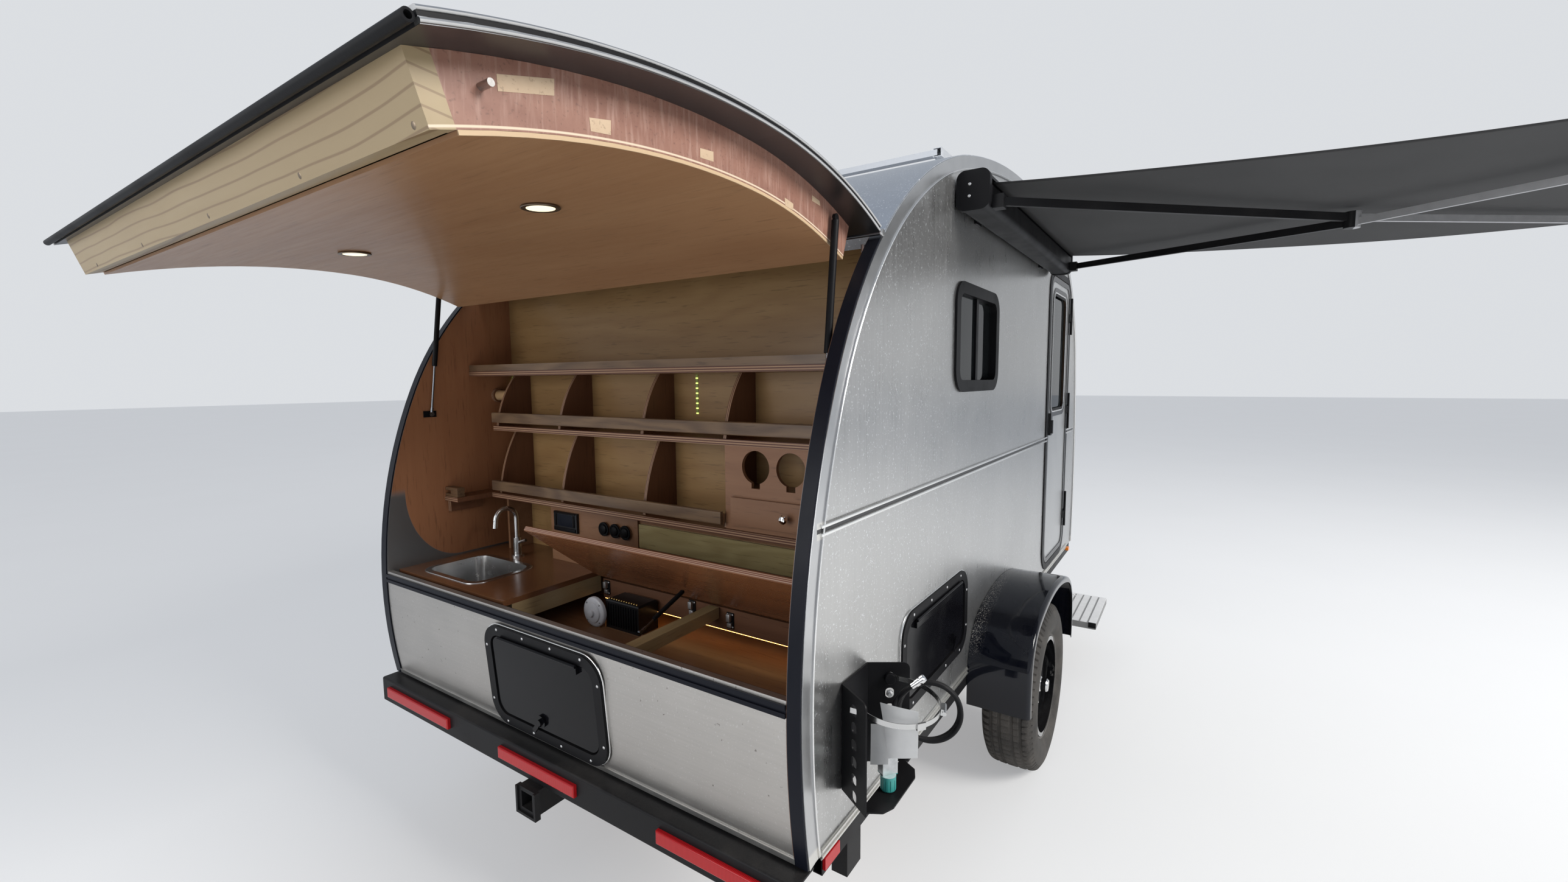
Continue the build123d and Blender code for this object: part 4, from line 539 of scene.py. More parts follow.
# %% Stage
FLOOR_HALF = 60
FLOOR_CORNERS = [(x * FLOOR_HALF, y * FLOOR_HALF, 0) for x, y in ((-1, -1), (1, -1), (1, 1), (-1, 1))]
OWN_LIGHT = 0.4  # the share of the floor's colour that the camera sees however little light falls there
BLACK, SKY_PALE = (0, 0, 0), tint(236, 239, 243)
floor_mesh = bpy.data.meshes.new("floor")
floor_mesh.from_pydata(FLOOR_CORNERS, [], [(0, 1, 2, 3)])
floor = link(bpy.data.objects.new("floor", floor_mesh))
floor_finish = Finish("pale_floor", roughness=0.85, specular_ior_level=0.2)
floor_tone = floor_finish.mix(floor_finish.noise(0.8, detail=2.0), tint(236, 236, 235), tint(241, 241, 240))
looked_at = floor_finish.node("ShaderNodeLightPath", output="Is Camera Ray")
floor_finish.set(base_color=floor_finish.mix(looked_at * OWN_LIGHT, floor_tone, BLACK),
                 emission_color=floor_finish.mix(looked_at, BLACK, tint(232, 233, 235)),
                 emission_strength=OWN_LIGHT)
floor_mesh.materials.append(floor_finish.material)
world = bpy.data.worlds.new("world")
bpy.context.scene.world = world
world.use_nodes = True
sky = Recipe(world.node_tree, world.node_tree.nodes["Background"])
sky_x, _, sky_z = sky.axes(sky.place("Generated"))
stops = [(0.0, tint(222, 226, 231)), (0.52, SKY_PALE), (0.70, tint(206, 212, 221)), (1.0, tint(168, 178, 194))]
height = sky.node("ShaderNodeValToRGB", {"stops": stops}, {0: sky_z * 0.5 + 0.5})
seen = [sky.node("ShaderNodeLightPath", output=name) for name in ("Is Camera Ray", "Is Transmission Ray")]
lit = sky.mix((sky_x * 0.5 + 0.5).rise(0.35, 1.0) * 0.3, height, tint(150, 150, 148))
sky.set(color=sky.mix(seen[0].most(seen[1]), lit, SKY_PALE), strength=0.85)


def lamp(name, where, target, size, power, colour=(1, 1, 1)):
    """A square soft lamp that looks at a point."""
    data = bpy.data.lights.new(name, "AREA")
    data.size = size
    data.energy = power
    data.color = colour
    item = link(bpy.data.objects.new(name, data))
    item.location = where
    item.rotation_euler = (Vector(target) - Vector(where)).to_track_quat("-Z", "Y").to_euler()


lamp("key", where=(-0.5, -8.5, 6.5), target=(0, 0.5, 1.0), size=4.0, power=1150, colour=(1.0, 0.98, 0.95))
lamp("fill", where=(-7.0, 2.0, 2.4), target=(-0.8, 0.9, 1.3), size=3.0, power=110)
bpy.context.scene.view_settings.view_transform = "Standard"
print("lamps", len(bpy.data.lights))

# %% [markdown]
# ## Brushed sheet
# The walls are brushed aluminium. Fine streaks run up and down, the sheet is a little uneven, dew and
# dust lie on it in specks, and it darkens toward the foot. One recipe serves the walls, the roof, the
# hatch, the rear panel and the doors, each with its own tone. The streaks feed roughness and a very
# shallow bump, which is what stretches the reflections.

# %% Brushed sheet
STREAK_UP, STREAK_ALONG, STREAK_ACROSS = (1.0, 1.0, 0.02), (0.02, 1.0, 1.0), (1.0, 0.02, 1.0)
WALL_TONE, ROOF_TONE = (0.55, 0.548, 0.54), (0.62, 0.65, 0.69)
REAR_TONE, DOOR_TONE = (0.50, 0.48, 0.455), (0.58, 0.585, 0.585)


def brushed(name, tone, streak, rough=0.30, speckle=0.0):
    """Brushed aluminium with streaks along one axis, soft unevenness and small pale specks."""
    sheet = Finish(name)
    fine = sheet.noise(160, streak, 3)
    broad = sheet.noise(2.2, (1, 1, 0.7), 2)
    dust = sheet.noise(9, detail=5)
    specks = sheet.noise(185, detail=1).rise(0.66, 0.71) * speckle
    foot = sheet.axes()[2].rise(1.15, 0.45)
    level = fine * 0.30 + broad * 0.40 + dust * 0.16 + 0.06 - foot * 0.14
    colour = sheet.mix(level, scaled(tone, 0.66), scaled(tone, 1.22))
    colour = sheet.mix(specks, colour, (0.86, 0.88, 0.90))
    sheet.base(colour, fine * 0.12 + dust * 0.14 + specks * 0.2 + rough - 0.1, 0.92)
    sheet.bump(fine + broad * 40, 0.0001, 0.3)
    return sheet


dress(brushed("roof_aluminium", ROOF_TONE, STREAK_ALONG, 0.30, 1.0), "roof_shell")
rear = brushed("rear_aluminium", REAR_TONE, STREAK_ACROSS, 0.38, 0.15)
rear.paint(rear.noise(60, detail=2).rise(0.70, 0.76) * 0.7, (0.10, 0.085, 0.07), 0.6, 0.2)
dress(rear, "rear_panel")
print("rear panel:", len(rear.tree.nodes), "nodes")

# %% [markdown]
# ## Woods
# Plywood and boards are the warm half of this trailer. Each wood has long fine grain, slow bands of
# colour from the way the veneer was cut, small dark pores, and varnish, which is a coat over the
# colour.

# %% Wood recipe
ALONG, ACROSS, UPWARD = range(3)


def grain(board, pale, deep, way=ACROSS, figure=14.0, contrast=1.0):
    """Colour, fine grain and slow bands of a wood that runs along one axis."""
    long_way = [1.0, 1.0, 1.0]
    slow_way = [1.0, 1.0, 1.0]
    long_way[way], slow_way[way] = 0.06, 0.22
    cloud = board.noise(3.1, slow_way, 3)
    fine = board.noise(55, long_way, 5, 0.65)
    pores = board.noise(190, long_way, 2).rise(0.60, 0.70)
    across = board.axes()[ACROSS if way == UPWARD else UPWARD]
    bands = ((cloud * figure + across * 22.0) * 3.0).sine() * 0.5 + 0.5
    tone = (bands * 0.30 + fine * 0.55 + cloud * 0.45 - 0.15) * contrast
    colour = board.mix(tone, pale, deep)
    return board.mix(pores * 0.4, colour, scaled(deep, 0.45)), fine, bands


def wood(name, pale, deep, figure=14.0, gloss=0.42, coat=0.10, contrast=1.0):
    """Varnished wood whose grain runs across the trailer."""
    board = Finish(name, coat_weight=coat, coat_roughness=0.18, specular_ior_level=0.3)
    colour, fine, bands = grain(board, pale, deep, ACROSS, figure, contrast)
    board.base(colour, fine * 0.16 + gloss - 0.08)
    board.bump(fine + bands * 0.2, 0.0004, 0.35)
    return board


def patch(finish, y_limits, z_limits):
    """1 in a rectangle that looks rearward, from its limits in mm."""
    _, y, z = finish.axes()
    return y.within(*map(aside, y_limits)) * z.within(*map(high, z_limits))


# %% [markdown]
# A wall is one solid: aluminium skin outside, lined with wood inside. Its depth from the middle of
# the trailer says which of the two a point is. On the left the lining ends in a curve toward the
# rear of the galley, and bare sheet shows behind it.

# %% Walls
LINING_CORNER, LINING_CURVE = (250, 668), (0.204, 0.263)  # where the curve starts in mm, its half axes in m


def wall_finish(name, lining_curve):
    """Sheet outside and varnished plywood inside."""
    wall = brushed(name, WALL_TONE, STREAK_UP, 0.27, 0.6)
    x, _, z = wall.axes()
    depth = wall.off_centre()
    inside = depth.rise(0.9135, 0.9125)
    # The lining's tones are darker than the plywood's own: the galley's shade is painted into them.
    lining, _, _ = grain(wall, (0.33, 0.145, 0.066), (0.205, 0.080, 0.034), UPWARD, 8.0)
    wall.paint(inside, lining, 0.42, 0.0)
    wall.paint(inside * depth.rise(0.8768, 0.8772), (0.055, 0.056, 0.060), 0.32, 0.3)
    if lining_curve:
        left = ((x - fore(LINING_CORNER[0])) * (1 / LINING_CURVE[0])).least(0.0)
        down = ((z - high(LINING_CORNER[1])) * (1 / LINING_CURVE[1])).least(0.0)
        bare = (left * left + down * down).rise(0.985, 1.015) * z.rise(high(700), high(660)) * inside
        galley = x.rise(fore(520), fore(505))
        wall.paint(bare * galley, (0.20, 0.205, 0.21), 0.35, 0.8)
    return wall


for side, _ in SIDES:
    dress(wall_finish("wall_" + side, side == "left"), "side_wall_" + side)
print("walls dressed")

# %% [markdown]
# ## Bright mouldings
# A drawn aluminium moulding covers the corner all round each wall. It reflects more darkly than the
# wall, and one thin bright bead runs along its inner edge. The belt line is bright, black and bright:
# a dark insert lies in its groove. The bead is a small profile swept along the outline.

# %% Mouldings
DARK_FACE = (0.010, 0.010, 0.011)
ROUND_BEAD = ((39.0, 920.4), (39.4, 921.5), (40.4, 922.2), (41.6, 922.2), (42.6, 921.5), (43.0, 920.4))
BELT_BEADS = ((749.6, 757.8), (768.2, 776.4))
BELT_RUNS = ((46, 2487), (3068, 3318))  # behind the door and before it
trim = Finish("bright_moulding")
trim_x, _, trim_z = trim.axes()
drawn = trim.noise(220, (0.05, 1, 0.05), 3)
grime = trim.noise(14)
worn = drawn * 0.5 + grime * 0.5
belt = trim_z.within(high(744), high(782), 0.002) * trim_x.within(fore(30), fore(3345))
foot = trim_z.rise(high(40), high(30))
trim.base(trim.mix(worn, (0.44, 0.445, 0.45), (0.60, 0.605, 0.61)), grime * 0.12 + 0.24, 0.92)
brighter = trim.mix(worn, (0.55, 0.54, 0.51), (0.80, 0.79, 0.76))
trim.paint((belt + foot).least(1.0), brighter, grime * 0.25 + 0.22)
groove = trim_z.within(high(758.0), high(768.0), 0.0003) * trim.off_centre().rise(0.9190, 0.9180) * belt
trim.paint(groove, DARK_FACE, 0.3, 0.0)
trim.bump(drawn, 0.00003, 0.15)
dress(trim, "body_trims")
bead = mottled("bright_bead", 90, (0.66, 0.66, 0.65), (0.90, 0.90, 0.89), 0.14, 0.16, 0.95, (0.1, 1, 0.1))
swept("moulding_bead", ROUND_BEAD, stations(REAR, NOSE, (20.0, 30.0), 30.0), bead, "bright_trim")
belt_rows = [(x, either(sign, 914.8, 922.0), z) for _, sign in SIDES for z in BELT_BEADS for x in BELT_RUNS]
blocks("belt_beads", belt_rows, bead, "bright_trim", bevel=2.2)
print("belt beads:", len(belt_rows))

# %% [markdown]
# ## Doors
# An entry door repeats the wall's sheet between a raised black border and its tall window. Inside it
# is brown. The border stands prouder than the sheet, so the depth chooses between the three.

# %% Doors
door = brushed("door_sheet", DOOR_TONE, STREAK_UP, 0.32, 0.3)
door_depth = door.off_centre()
door.paint(door_depth.rise(0.9130, 0.9120), (0.20, 0.115, 0.06), 0.5, 0.0)
door.paint(door_depth.rise(0.9147, 0.9153), (0.011, 0.011, 0.012), 0.26, 0.0)
dress(door, "entry_door_right", "entry_door_left")
print("doors:", len(door.tree.nodes), "nodes")

# %% [markdown]
# ## Black finishes
# Four blacks are at work: gloss paint on fenders and access doors, satin coat on frames and struts,
# a rough coat on the chassis, and rubber. They differ in roughness, dust and bump, which is all that
# the eye has to tell black surfaces apart. Dust gathers on faces that look up.

# %% Blacks
DUST = (0.22, 0.20, 0.18)


def black(name, tone, rough, dust=0.25, grit=0.0, coat=0.0):
    """Black paint, plastic or rubber under a film of dust."""
    paint = Finish(name, specular_ior_level=0.11, coat_weight=coat, coat_roughness=0.04)
    film = paint.noise(7, detail=5).rise(0.42, 0.75)
    specks = paint.noise(240, detail=2)
    up = paint.facing()[2].rise(0.2, 1.0)
    lying = (film * 0.35 + specks * 0.25) * (up + 0.22) * dust
    paint.base(paint.mix(lying, tone, DUST), film * 0.10 + lying * 0.5 + rough)
    if grit:
        paint.bump(specks, grit, 0.5)
    return paint


satin_black = black("satin_black", (0.005, 0.005, 0.006), 0.42, 0.10)
coated_black = black("coated_black", (0.009, 0.009, 0.010), 0.40, 0.25, grit=0.00025)
door_black = black("access_black", (0.003, 0.003, 0.004), 0.14, 0.04, coat=0.05)
rubber_black = black("rubber_black", (0.008, 0.008, 0.009), 0.45, 0.15, grit=0.0002)
dress(door_black, "access_door_side", "access_door_rear")
dress(satin_black, "opening_frames", "strut_brackets", "hatch_strut_tube_right", "hatch_strut_tube_left",
      "lid_strut_tube", "gas_bracket", "awning_case")
dress(coated_black, "chassis", "side_sills", "axle", "bumper")
hose.data.materials.append(rubber_black.material)

# %% Fenders and seal
fender_black = black("fender_gloss", (0.003, 0.004, 0.008), 0.08, 0.12, coat=0.45)
# Pale specks on the fender's top near the wall: partly dust, partly a painted sun glare.
dust_and_glare_specks = fender_black.noise(260, detail=2).rise(0.56, 0.64)
by_wall = fender_black.off_centre().rise(0.975, 0.930) * fender_black.facing()[2].rise(0.1, 0.7)
fender_black.paint(by_wall * dust_and_glare_specks * 0.75, (0.34, 0.32, 0.29), 0.7)
dress(fender_black, "fender_right", "fender_left")
dress(black("seal_rubber", (0.006, 0.007, 0.012), 0.30, 0.1), "hatch_seal")
print("parts dressed so far:", len(dressed))

# %% [markdown]
# Each door hangs on three long black hinge strips whose knuckles show as fine ribs, so a strip is a
# turned piece with a repeating profile. Bright screws stand evenly round the two access frames.

# %% Hinge strips and frame screws
KNUCKLES, KNUCKLE = 24, 9.0
HINGE_LOWS = (175.0, 783.0, 1350.0)
HINGE_X, HINGE_REACH = 3064, 928.5
REAR_TURN = 5.6  # degrees along the rear arc, to the middle of the rear access frame
SCREW_RADIUS, SCREW_HEIGHT, SCREW_SPACING = 5.0, 2.0, 150
hinge_profile = [(0.0, 4.0)]
for knuckle in range(KNUCKLES):
    low = knuckle * KNUCKLE
    hinge_profile += [(low + 0.6, 6.6), (low + 7.6, 6.6), (low + 8.0, 5.4), (low + 8.8, 5.4)]
hinge_profile.append((217.0, 4.0))
for side, sign in SIDES:
    strips = bmesh.new()
    for low in HINGE_LOWS:
        spin(strips, hinge_profile, at(HINGE_X, sign * HINGE_REACH, low), UP, 16)
    finished("hinge_strip_" + side, strips, satin_black, "black_frame", "entry_door_" + side)
screw_steel = Finish("screw_steel", base_color=(0.5, 0.5, 0.5), metallic=1.0)
screw_steel.set(roughness=screw_steel.noise(60) * 0.3 + 0.15)


def round_frame(x_limits, z_limits, corner):
    """Places evenly spaced along the straight sides of a rounded rectangle, as (x, z) pairs."""
    (x0, x1), (z0, z1) = x_limits, z_limits
    runs = [(x0 + corner, z0, x1 - corner, z0), (x1, z0 + corner, x1, z1 - corner),
            (x1 - corner, z1, x0 + corner, z1), (x0, z1 - corner, x0, z0 + corner)]
    places = []
    for ax, az, bx, bz in runs:
        count = max(1, round((abs(bx - ax) + abs(bz - az)) / SCREW_SPACING))
        places += [(ax + (bx - ax) * i / count, az + (bz - az) * i / count) for i in range(count + 1)]
    return places


def wall_place(sign):
    """A function that turns (along, up, out) on a side wall, in mm, into a point."""
    return lambda x, z, out: at(x, sign * (HALF + out), z)


rear_x, rear_z = outline(REAR, arc_length(REAR, REAR_TURN))
rear_slope = radians(FIRST_HEADING - REAR_TURN)
rear_up = Vector((cos(rear_slope), 0, sin(rear_slope)))
rear_out = Vector((-rear_up.z, 0, rear_up.x))


def rear_place(across, up, out):
    """A point of the rear panel, from the middle of its access frame, in mm."""
    return at(rear_x, -20 + across, rear_z) + (rear_up * up + rear_out * out) / 1000


on_right = wall_place(-1)
side_screws = [on_right(x, z, 8) for x, z in round_frame((519, 1096), (129, 400), 70)]
studs("side_frame_screws", side_screws, (0, -1, 0), SCREW_RADIUS, SCREW_HEIGHT, screw_steel, "black_frame")
rear_screws = [rear_place(across, up, 10) for across, up in round_frame((-256, 256), (-153, 153), 62)]
studs("rear_frame_screws", rear_screws, rear_out, SCREW_RADIUS, SCREW_HEIGHT, screw_steel, "black_frame")
print("screws", len(side_screws) + len(rear_screws))

# %% [markdown]
# ## Glass
# The panes are dark because the cabin behind them is. A nearly black, very smooth base reflects as
# tinted glass does. Each door window also has a slim bright rim and a black gasket, and each of the
# two access frames a bright edge. All of them are one rounded loop, swept as a tube.

# %% Glass and rims
ROUNDING = 8  # steps in each corner of a rim
glass = mottled("tinted_glass", 5, (0.004, 0.005, 0.005), (0.012, 0.014, 0.015), 0.03, 0.04,
                specular_ior_level=0.2)
dress(glass, "door_glass_right", "door_glass_left", "window_panes")


def rim(name, place, x_limits, z_limits, corner, width, proud, finish, slot, body="trailer"):
    """A flat rounded loop with a rounded section; place turns (across, up, out) in mm into a point."""
    shape = bmesh.new()
    x0, x1 = x_limits[0] + corner, x_limits[1] - corner
    z0, z1 = z_limits[0] + corner, z_limits[1] - corner
    section = ((0, 0), (0.5, proud * 0.75), (width * 0.3, proud), (width * 0.7, proud),
               (width - 0.5, proud * 0.75), (width, 0))
    rings = []
    for cx, cz, first in ((x1, z1, 0), (x0, z1, 90), (x0, z0, 180), (x1, z0, 270)):
        for step in range(ROUNDING + 1):
            a = radians(first + 90 * step / ROUNDING)
            places = [place(cx + (corner - out) * cos(a), cz + (corner - out) * sin(a), rise) for out, rise in section]
            rings.append([shape.verts.new(point) for point in places])
    join(shape, rings, closed=True)
    return finished(name, shape, finish, slot, body)


for side, sign in SIDES:
    on_wall, body = wall_place(sign), "entry_door_" + side
    rim("door_window_rim_" + side, on_wall, (2575, 2965), (900, 1560), 60, 9.0, 4.0, bead, "bright_trim", body)
    rim("door_window_gasket_" + side, on_wall, (2584, 2956), (909, 1551), 51, 14.0, 2.2, rubber_black,
        "black_frame", body)
rim("side_frame_edge", on_right, (501, 1114), (111, 418), 84, 5.0, 3.0, bead, "bright_trim")
rim("rear_frame_edge", rear_place, (-273, 273), (-170, 170), 80, 5.0, 3.0, bead, "bright_trim")
print("parts dressed so far:", len(dressed))

# %% [markdown]
# ## Small bright metal
# Polished, brushed and plated steel differ only in tone and roughness, so one recipe serves them. The
# struts' rods are dark and smooth, the sink is brushed, and the rack and the step are satin.

# %% Bright metals


def bright(name, tone, rough, scratch=0.1, metal=1.0):
    """Steel or aluminium with faint smudges and scratches."""
    steel = Finish(name)
    smudge = steel.noise(30)
    fine = steel.noise(300, (0.1, 1, 1), 2)
    colour = steel.mix(smudge, scaled(tone, 0.82), tone)
    steel.base(colour, smudge * scratch + fine * scratch * 0.5 + rough, metal)
    return steel


stainless = bright("stainless", (0.62, 0.62, 0.615), 0.18)
chrome = bright("chrome", (0.80, 0.80, 0.80), 0.06, 0.06)
zinc = bright("zinc", (0.58, 0.585, 0.59), 0.32, 0.2)
bronze = bright("dark_bronze", (0.24, 0.19, 0.14), 0.3, 0.15)
brass = bright("brass", (0.62, 0.44, 0.16), 0.25, 0.15)
rod_steel = bright("rod_steel", (0.20, 0.21, 0.23), 0.14, 0.08)
step_metal = bright("step_aluminium", (0.92, 0.92, 0.92), 0.40, 0.2, 0.3)
step_metal.paint(step_metal.axes()[2].rise(high(-241.5), high(-243.5)) * 0.8, (0.10, 0.10, 0.10), 0.6)
dress(stainless, "sink", "gas_strap")
dress(rod_steel, "hatch_strut_rod_right", "hatch_strut_rod_left", "lid_strut_rod")
dress(zinc, "coupler", "jack_tube", "jack_leg")
dress(bright("rack_aluminium", (0.72, 0.735, 0.76), 0.34, 0.2, 0.85), "roof_rack")
dress(step_metal, "door_steps")
blocks("step_end_cap", [((2566, 2574), (-1186, -1148), (-268, -239))], satin_black, "black_trim", bevel=2.0)
print("parts dressed so far:", len(dressed))

# %% [markdown]
# ## Wheels and tyres
# The wheel is gloss black steel with a bright hub and nuts. The tyre is made here, because its tread
# is too fine for the solid: one profile is spun round the axle, and wherever a tread groove or a slit
# crosses it, the ring's points are pushed down. Five ribs run round the crown, and the shoulder is cut
# into blocks.

# %% Wheel
AXLE, WHEEL_REACH = (1600, -195), 1030
HUB_RADIUS, HUB_FACE = 0.075, 0.040  # the hub is bright inside that radius and beyond that face
wheel_paint = black("wheel_gloss", (0.006, 0.006, 0.007), 0.07, 0.1, coat=0.8)
face = (wheel_paint.off_centre() - WHEEL_REACH / 1000).rise(HUB_FACE - 0.0005, HUB_FACE + 0.0005)
hub = wheel_paint.from_line(*AXLE).rise(HUB_RADIUS + 0.0005, HUB_RADIUS - 0.0005) * face
hub_tone = wheel_paint.mix(wheel_paint.noise(60), (0.42, 0.42, 0.42), (0.74, 0.74, 0.75))
wheel_paint.paint(hub, hub_tone, 0.18, 1.0)
dress(wheel_paint, "wheel_right", "wheel_left")

# %% Tyre finish
tyre_rubber = Finish("tyre_rubber", specular_ior_level=0.25)
tyre_dust = tyre_rubber.noise(11, detail=6)
tyre_grit = tyre_rubber.noise(320, detail=2)
dusted = (tyre_dust * 0.6 + tyre_grit * 0.4).rise(0.30, 0.75)
scuffed = tyre_rubber.from_line(*AXLE).within(0.2065, 0.2115, 0.002)
tyre_rubber.base(tyre_rubber.mix(dusted, (0.020, 0.019, 0.018), (0.090, 0.082, 0.074)), dusted * 0.2 + 0.62)
tyre_rubber.paint(scuffed * (dusted * 0.5 + 0.3), (0.21, 0.20, 0.19))
tyre_rubber.bump(tyre_grit * 0.4 + tyre_dust * 0.4, 0.0006, 0.5)
print("tyre finish:", len(tyre_rubber.tree.nodes), "nodes")

# %% Tyre
INNER_WALL = [(58.5, 192.5), (72.5, 192.5), (80, 200), (86.5, 216.5), (94, 228), (99.8, 243)]
OUTER_WALL = [(102.5, 262), (101.8, 278), (99.0, 297), (95.5, 311), (90.5, 320.5), (84.5, 330.5)]
CROWN = [(80, 334.5), (74, 337), (68, 338.4), (62, 339.4), (58, 339.8), (54, 340.2), (46, 340.7),
         (36, 341.1), (30, 341.3), (26, 341.4), (22, 341.5), (14, 341.6), (8, 341.7), (0, 341.7)]
INSIDE = [(58.5, 203), (74, 218), (91, 262), (78, 308), (0, 319),
          (-78, 308), (-91, 262), (-74, 218), (-58.5, 203)]
GROOVES, GROOVE_HALF = (56.0, 24.0), 3.1
SEGMENTS, PITCH = 360, 5  # places round the tyre, and how many of them one block of the tread takes
SLIT = 3  # which of them a slit cuts


def tread_depth(across, ring):
    """How deep the tread is cut at a place across the crown and a place round it."""
    turn = ring % PITCH
    if 61 < across < 92:
        return 6.5 if turn == 0 else 0.0
    if any(abs(across - groove) < GROOVE_HALF for groove in GROOVES):
        return 7.0
    if turn == SLIT and 27 < across < 53:
        return 3.5
    return 3.0 if turn == SLIT and across < 21 else 0.0


half_profile = INNER_WALL + OUTER_WALL + CROWN
outer_profile = [(-across, radius) for across, radius in half_profile] + half_profile[-2::-1]
for side, sign in SIDES:
    shape = bmesh.new()
    hub_centre = at(AXLE[0], sign * WHEEL_REACH, AXLE[1])
    rings = []
    for ring in range(SEGMENTS):
        a = 2 * pi * ring / SEGMENTS
        spoke = Vector((cos(a), 0, sin(a)))
        section = []
        for across, radius in outer_profile:
            depth = tread_depth(abs(across), ring) if radius > 300 else 0.0
            inward = 0.0 if abs(across) < 70 else depth * 0.5 * (1 if across > 0 else -1)
            section.append((across - inward, radius - depth))
        rings.append([shape.verts.new(hub_centre + spoke * (radius / 1000) + Vector((0, across / 1000, 0)))
                      for across, radius in section + INSIDE])
    join(shape, rings, closed=True)
    tyre = finished("treaded_tyre_" + side, shape, tyre_rubber, "tyre", "wheel_" + side, sharp=32)
    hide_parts("tyre_" + side)
print("tyre faces", len(tyre.data.polygons))

# %% [markdown]
# The lamps are one solid in red and amber. How far forward a point lies tells the two apart, and fine
# ribs across the lens vary the red.

# %% Red and amber lamps
lens = Finish("red_lens", coat_weight=0.2, coat_roughness=0.05, specular_ior_level=0.2)
lens_x, lens_y, _ = lens.axes()
lens.base(lens.mix(lens_y.waves(0.004), (0.30, 0.006, 0.008), (0.46, 0.014, 0.018)), 0.16)
lens.paint(lens_x.rise(fore(3180), fore(3200)), (0.80, 0.22, 0.02))
dress(lens, "tail_lamps")
print("parts dressed so far:", len(dressed))

# %% [markdown]
# ## The raised hatch
# The galley hatch is the hardest piece: two curved ribs carry a lining below and the skin above, and
# everything is turned about the hinge. A finish can still follow the curve. The distance from an
# arc's turned centre gives how deep a point lies below the skin, so a thin pale edge line can run
# along each rib, and the skin's outer face can be bright where its underside is painted dark as shade.

# %% Hatch frame
SKIN_TOP = -0.013  # depth of the sheet's bright outer face; its edges and underside are painted dark as shade
END_BOARD = 0.060  # how far the hatch's end board reaches along the lower arc


def past(finish, arc):
    """How far a point lies past the start of an arc of the raised hatch, in m."""
    start = raised(arc, 0)
    onward = (raised(arc, 1) - start).normalized()
    return finish.along(onward) - start.dot(onward)


def hatch_depth(finish):
    """How deep a point lies inside the raised hatch's outline, in m."""
    depths = []
    for arc in (HATCH_LOW, HATCH_HIGH):
        centre, radius, _ = centres[arc]
        depths.append(radius / 1000 - finish.from_line(*opened(*centre)))
    upper = past(finish, HATCH_HIGH).rise(-0.0005, 0.0005)
    return depths[0] * (1 - upper) + depths[1] * upper


ribs = Finish("rib_mahogany", coat_weight=0.12, coat_roughness=0.2, specular_ior_level=0.35)
rib_side = ribs.off_centre()
# The ribs' tones are darker than the mahogany's own: the shade under the hatch is painted into them.
rib_colour, rib_fine, _ = grain(ribs, (0.30, 0.155, 0.110), (0.185, 0.080, 0.055), ACROSS, 10.0)
cross_streaks = ribs.noise(150, (1, 1, 0.10), 3).rise(0.45, 0.75)
ribs.base(ribs.mix(cross_streaks * 0.5, rib_colour, (0.42, 0.27, 0.215)), rib_fine * 0.15 + 0.36)
figure = ((ribs.noise(1.5, (1, 0.5, 1), 3) * 0.07 + ribs.axes()[2]) * 300.0).sine()
# The end board's tones are darkened too: painted shade under the raised hatch.
board_tone = ribs.mix(ribs.noise(9, (1, 0.2, 1), 4), (0.37, 0.285, 0.165), (0.28, 0.205, 0.112))
poplar = ribs.mix(figure.rise(0.80, 0.99) * 0.6, board_tone, (0.16, 0.095, 0.05))
ribs.paint(past(ribs, HATCH_LOW).rise(END_BOARD + 0.0005, END_BOARD - 0.0005), poplar)
ribs.paint(rib_side.rise(0.8483, 0.8487), (0.40, 0.38, 0.36), 0.25, 0.9)
edge_line = hatch_depth(ribs).within(0.0735, 0.0765, 0.0007) * rib_side.rise(0.8465, 0.8475)
ribs.paint(edge_line, (0.62, 0.50, 0.37))
ribs.bump(rib_fine, 0.0004, 0.3)
dress(ribs, "hatch_frame")

# %% Hatch lining and skin
# The liner's tones are darker than the plywood's own: the shade under the hatch is painted into them.
lining_wood = wood("liner_ply", (0.35, 0.195, 0.100), (0.275, 0.140, 0.068), 9.0, 0.38)
lining_wood.paint(lining_wood.off_centre().rise(0.8455, 0.8465), (0.50, 0.36, 0.22))
dress(lining_wood, "hatch_liner")
skin = brushed("hatch_sheet", ROOF_TONE, STREAK_ALONG, 0.30, 0.6)
# Below its outer face the sheet is painted dark: painted shade on its edges and underside.
skin.paint(hatch_depth(skin).rise(SKIN_TOP + 0.0012, SKIN_TOP + 0.0024), (0.105, 0.105, 0.110), 0.36, 0.92)
dress(skin, "hatch_skin")
print("hatch skin:", len(skin.tree.nodes), "nodes")

# %% [markdown]
# The hatch's side edge is an extrusion: bright, black and bright again. It is swept in two colours
# along the same arcs as the ribs, and keeps clear of the wall's seal when the hatch is shut. A rubber
# bulb seals the lip, and its ends are open, which is why its profile turns inward.

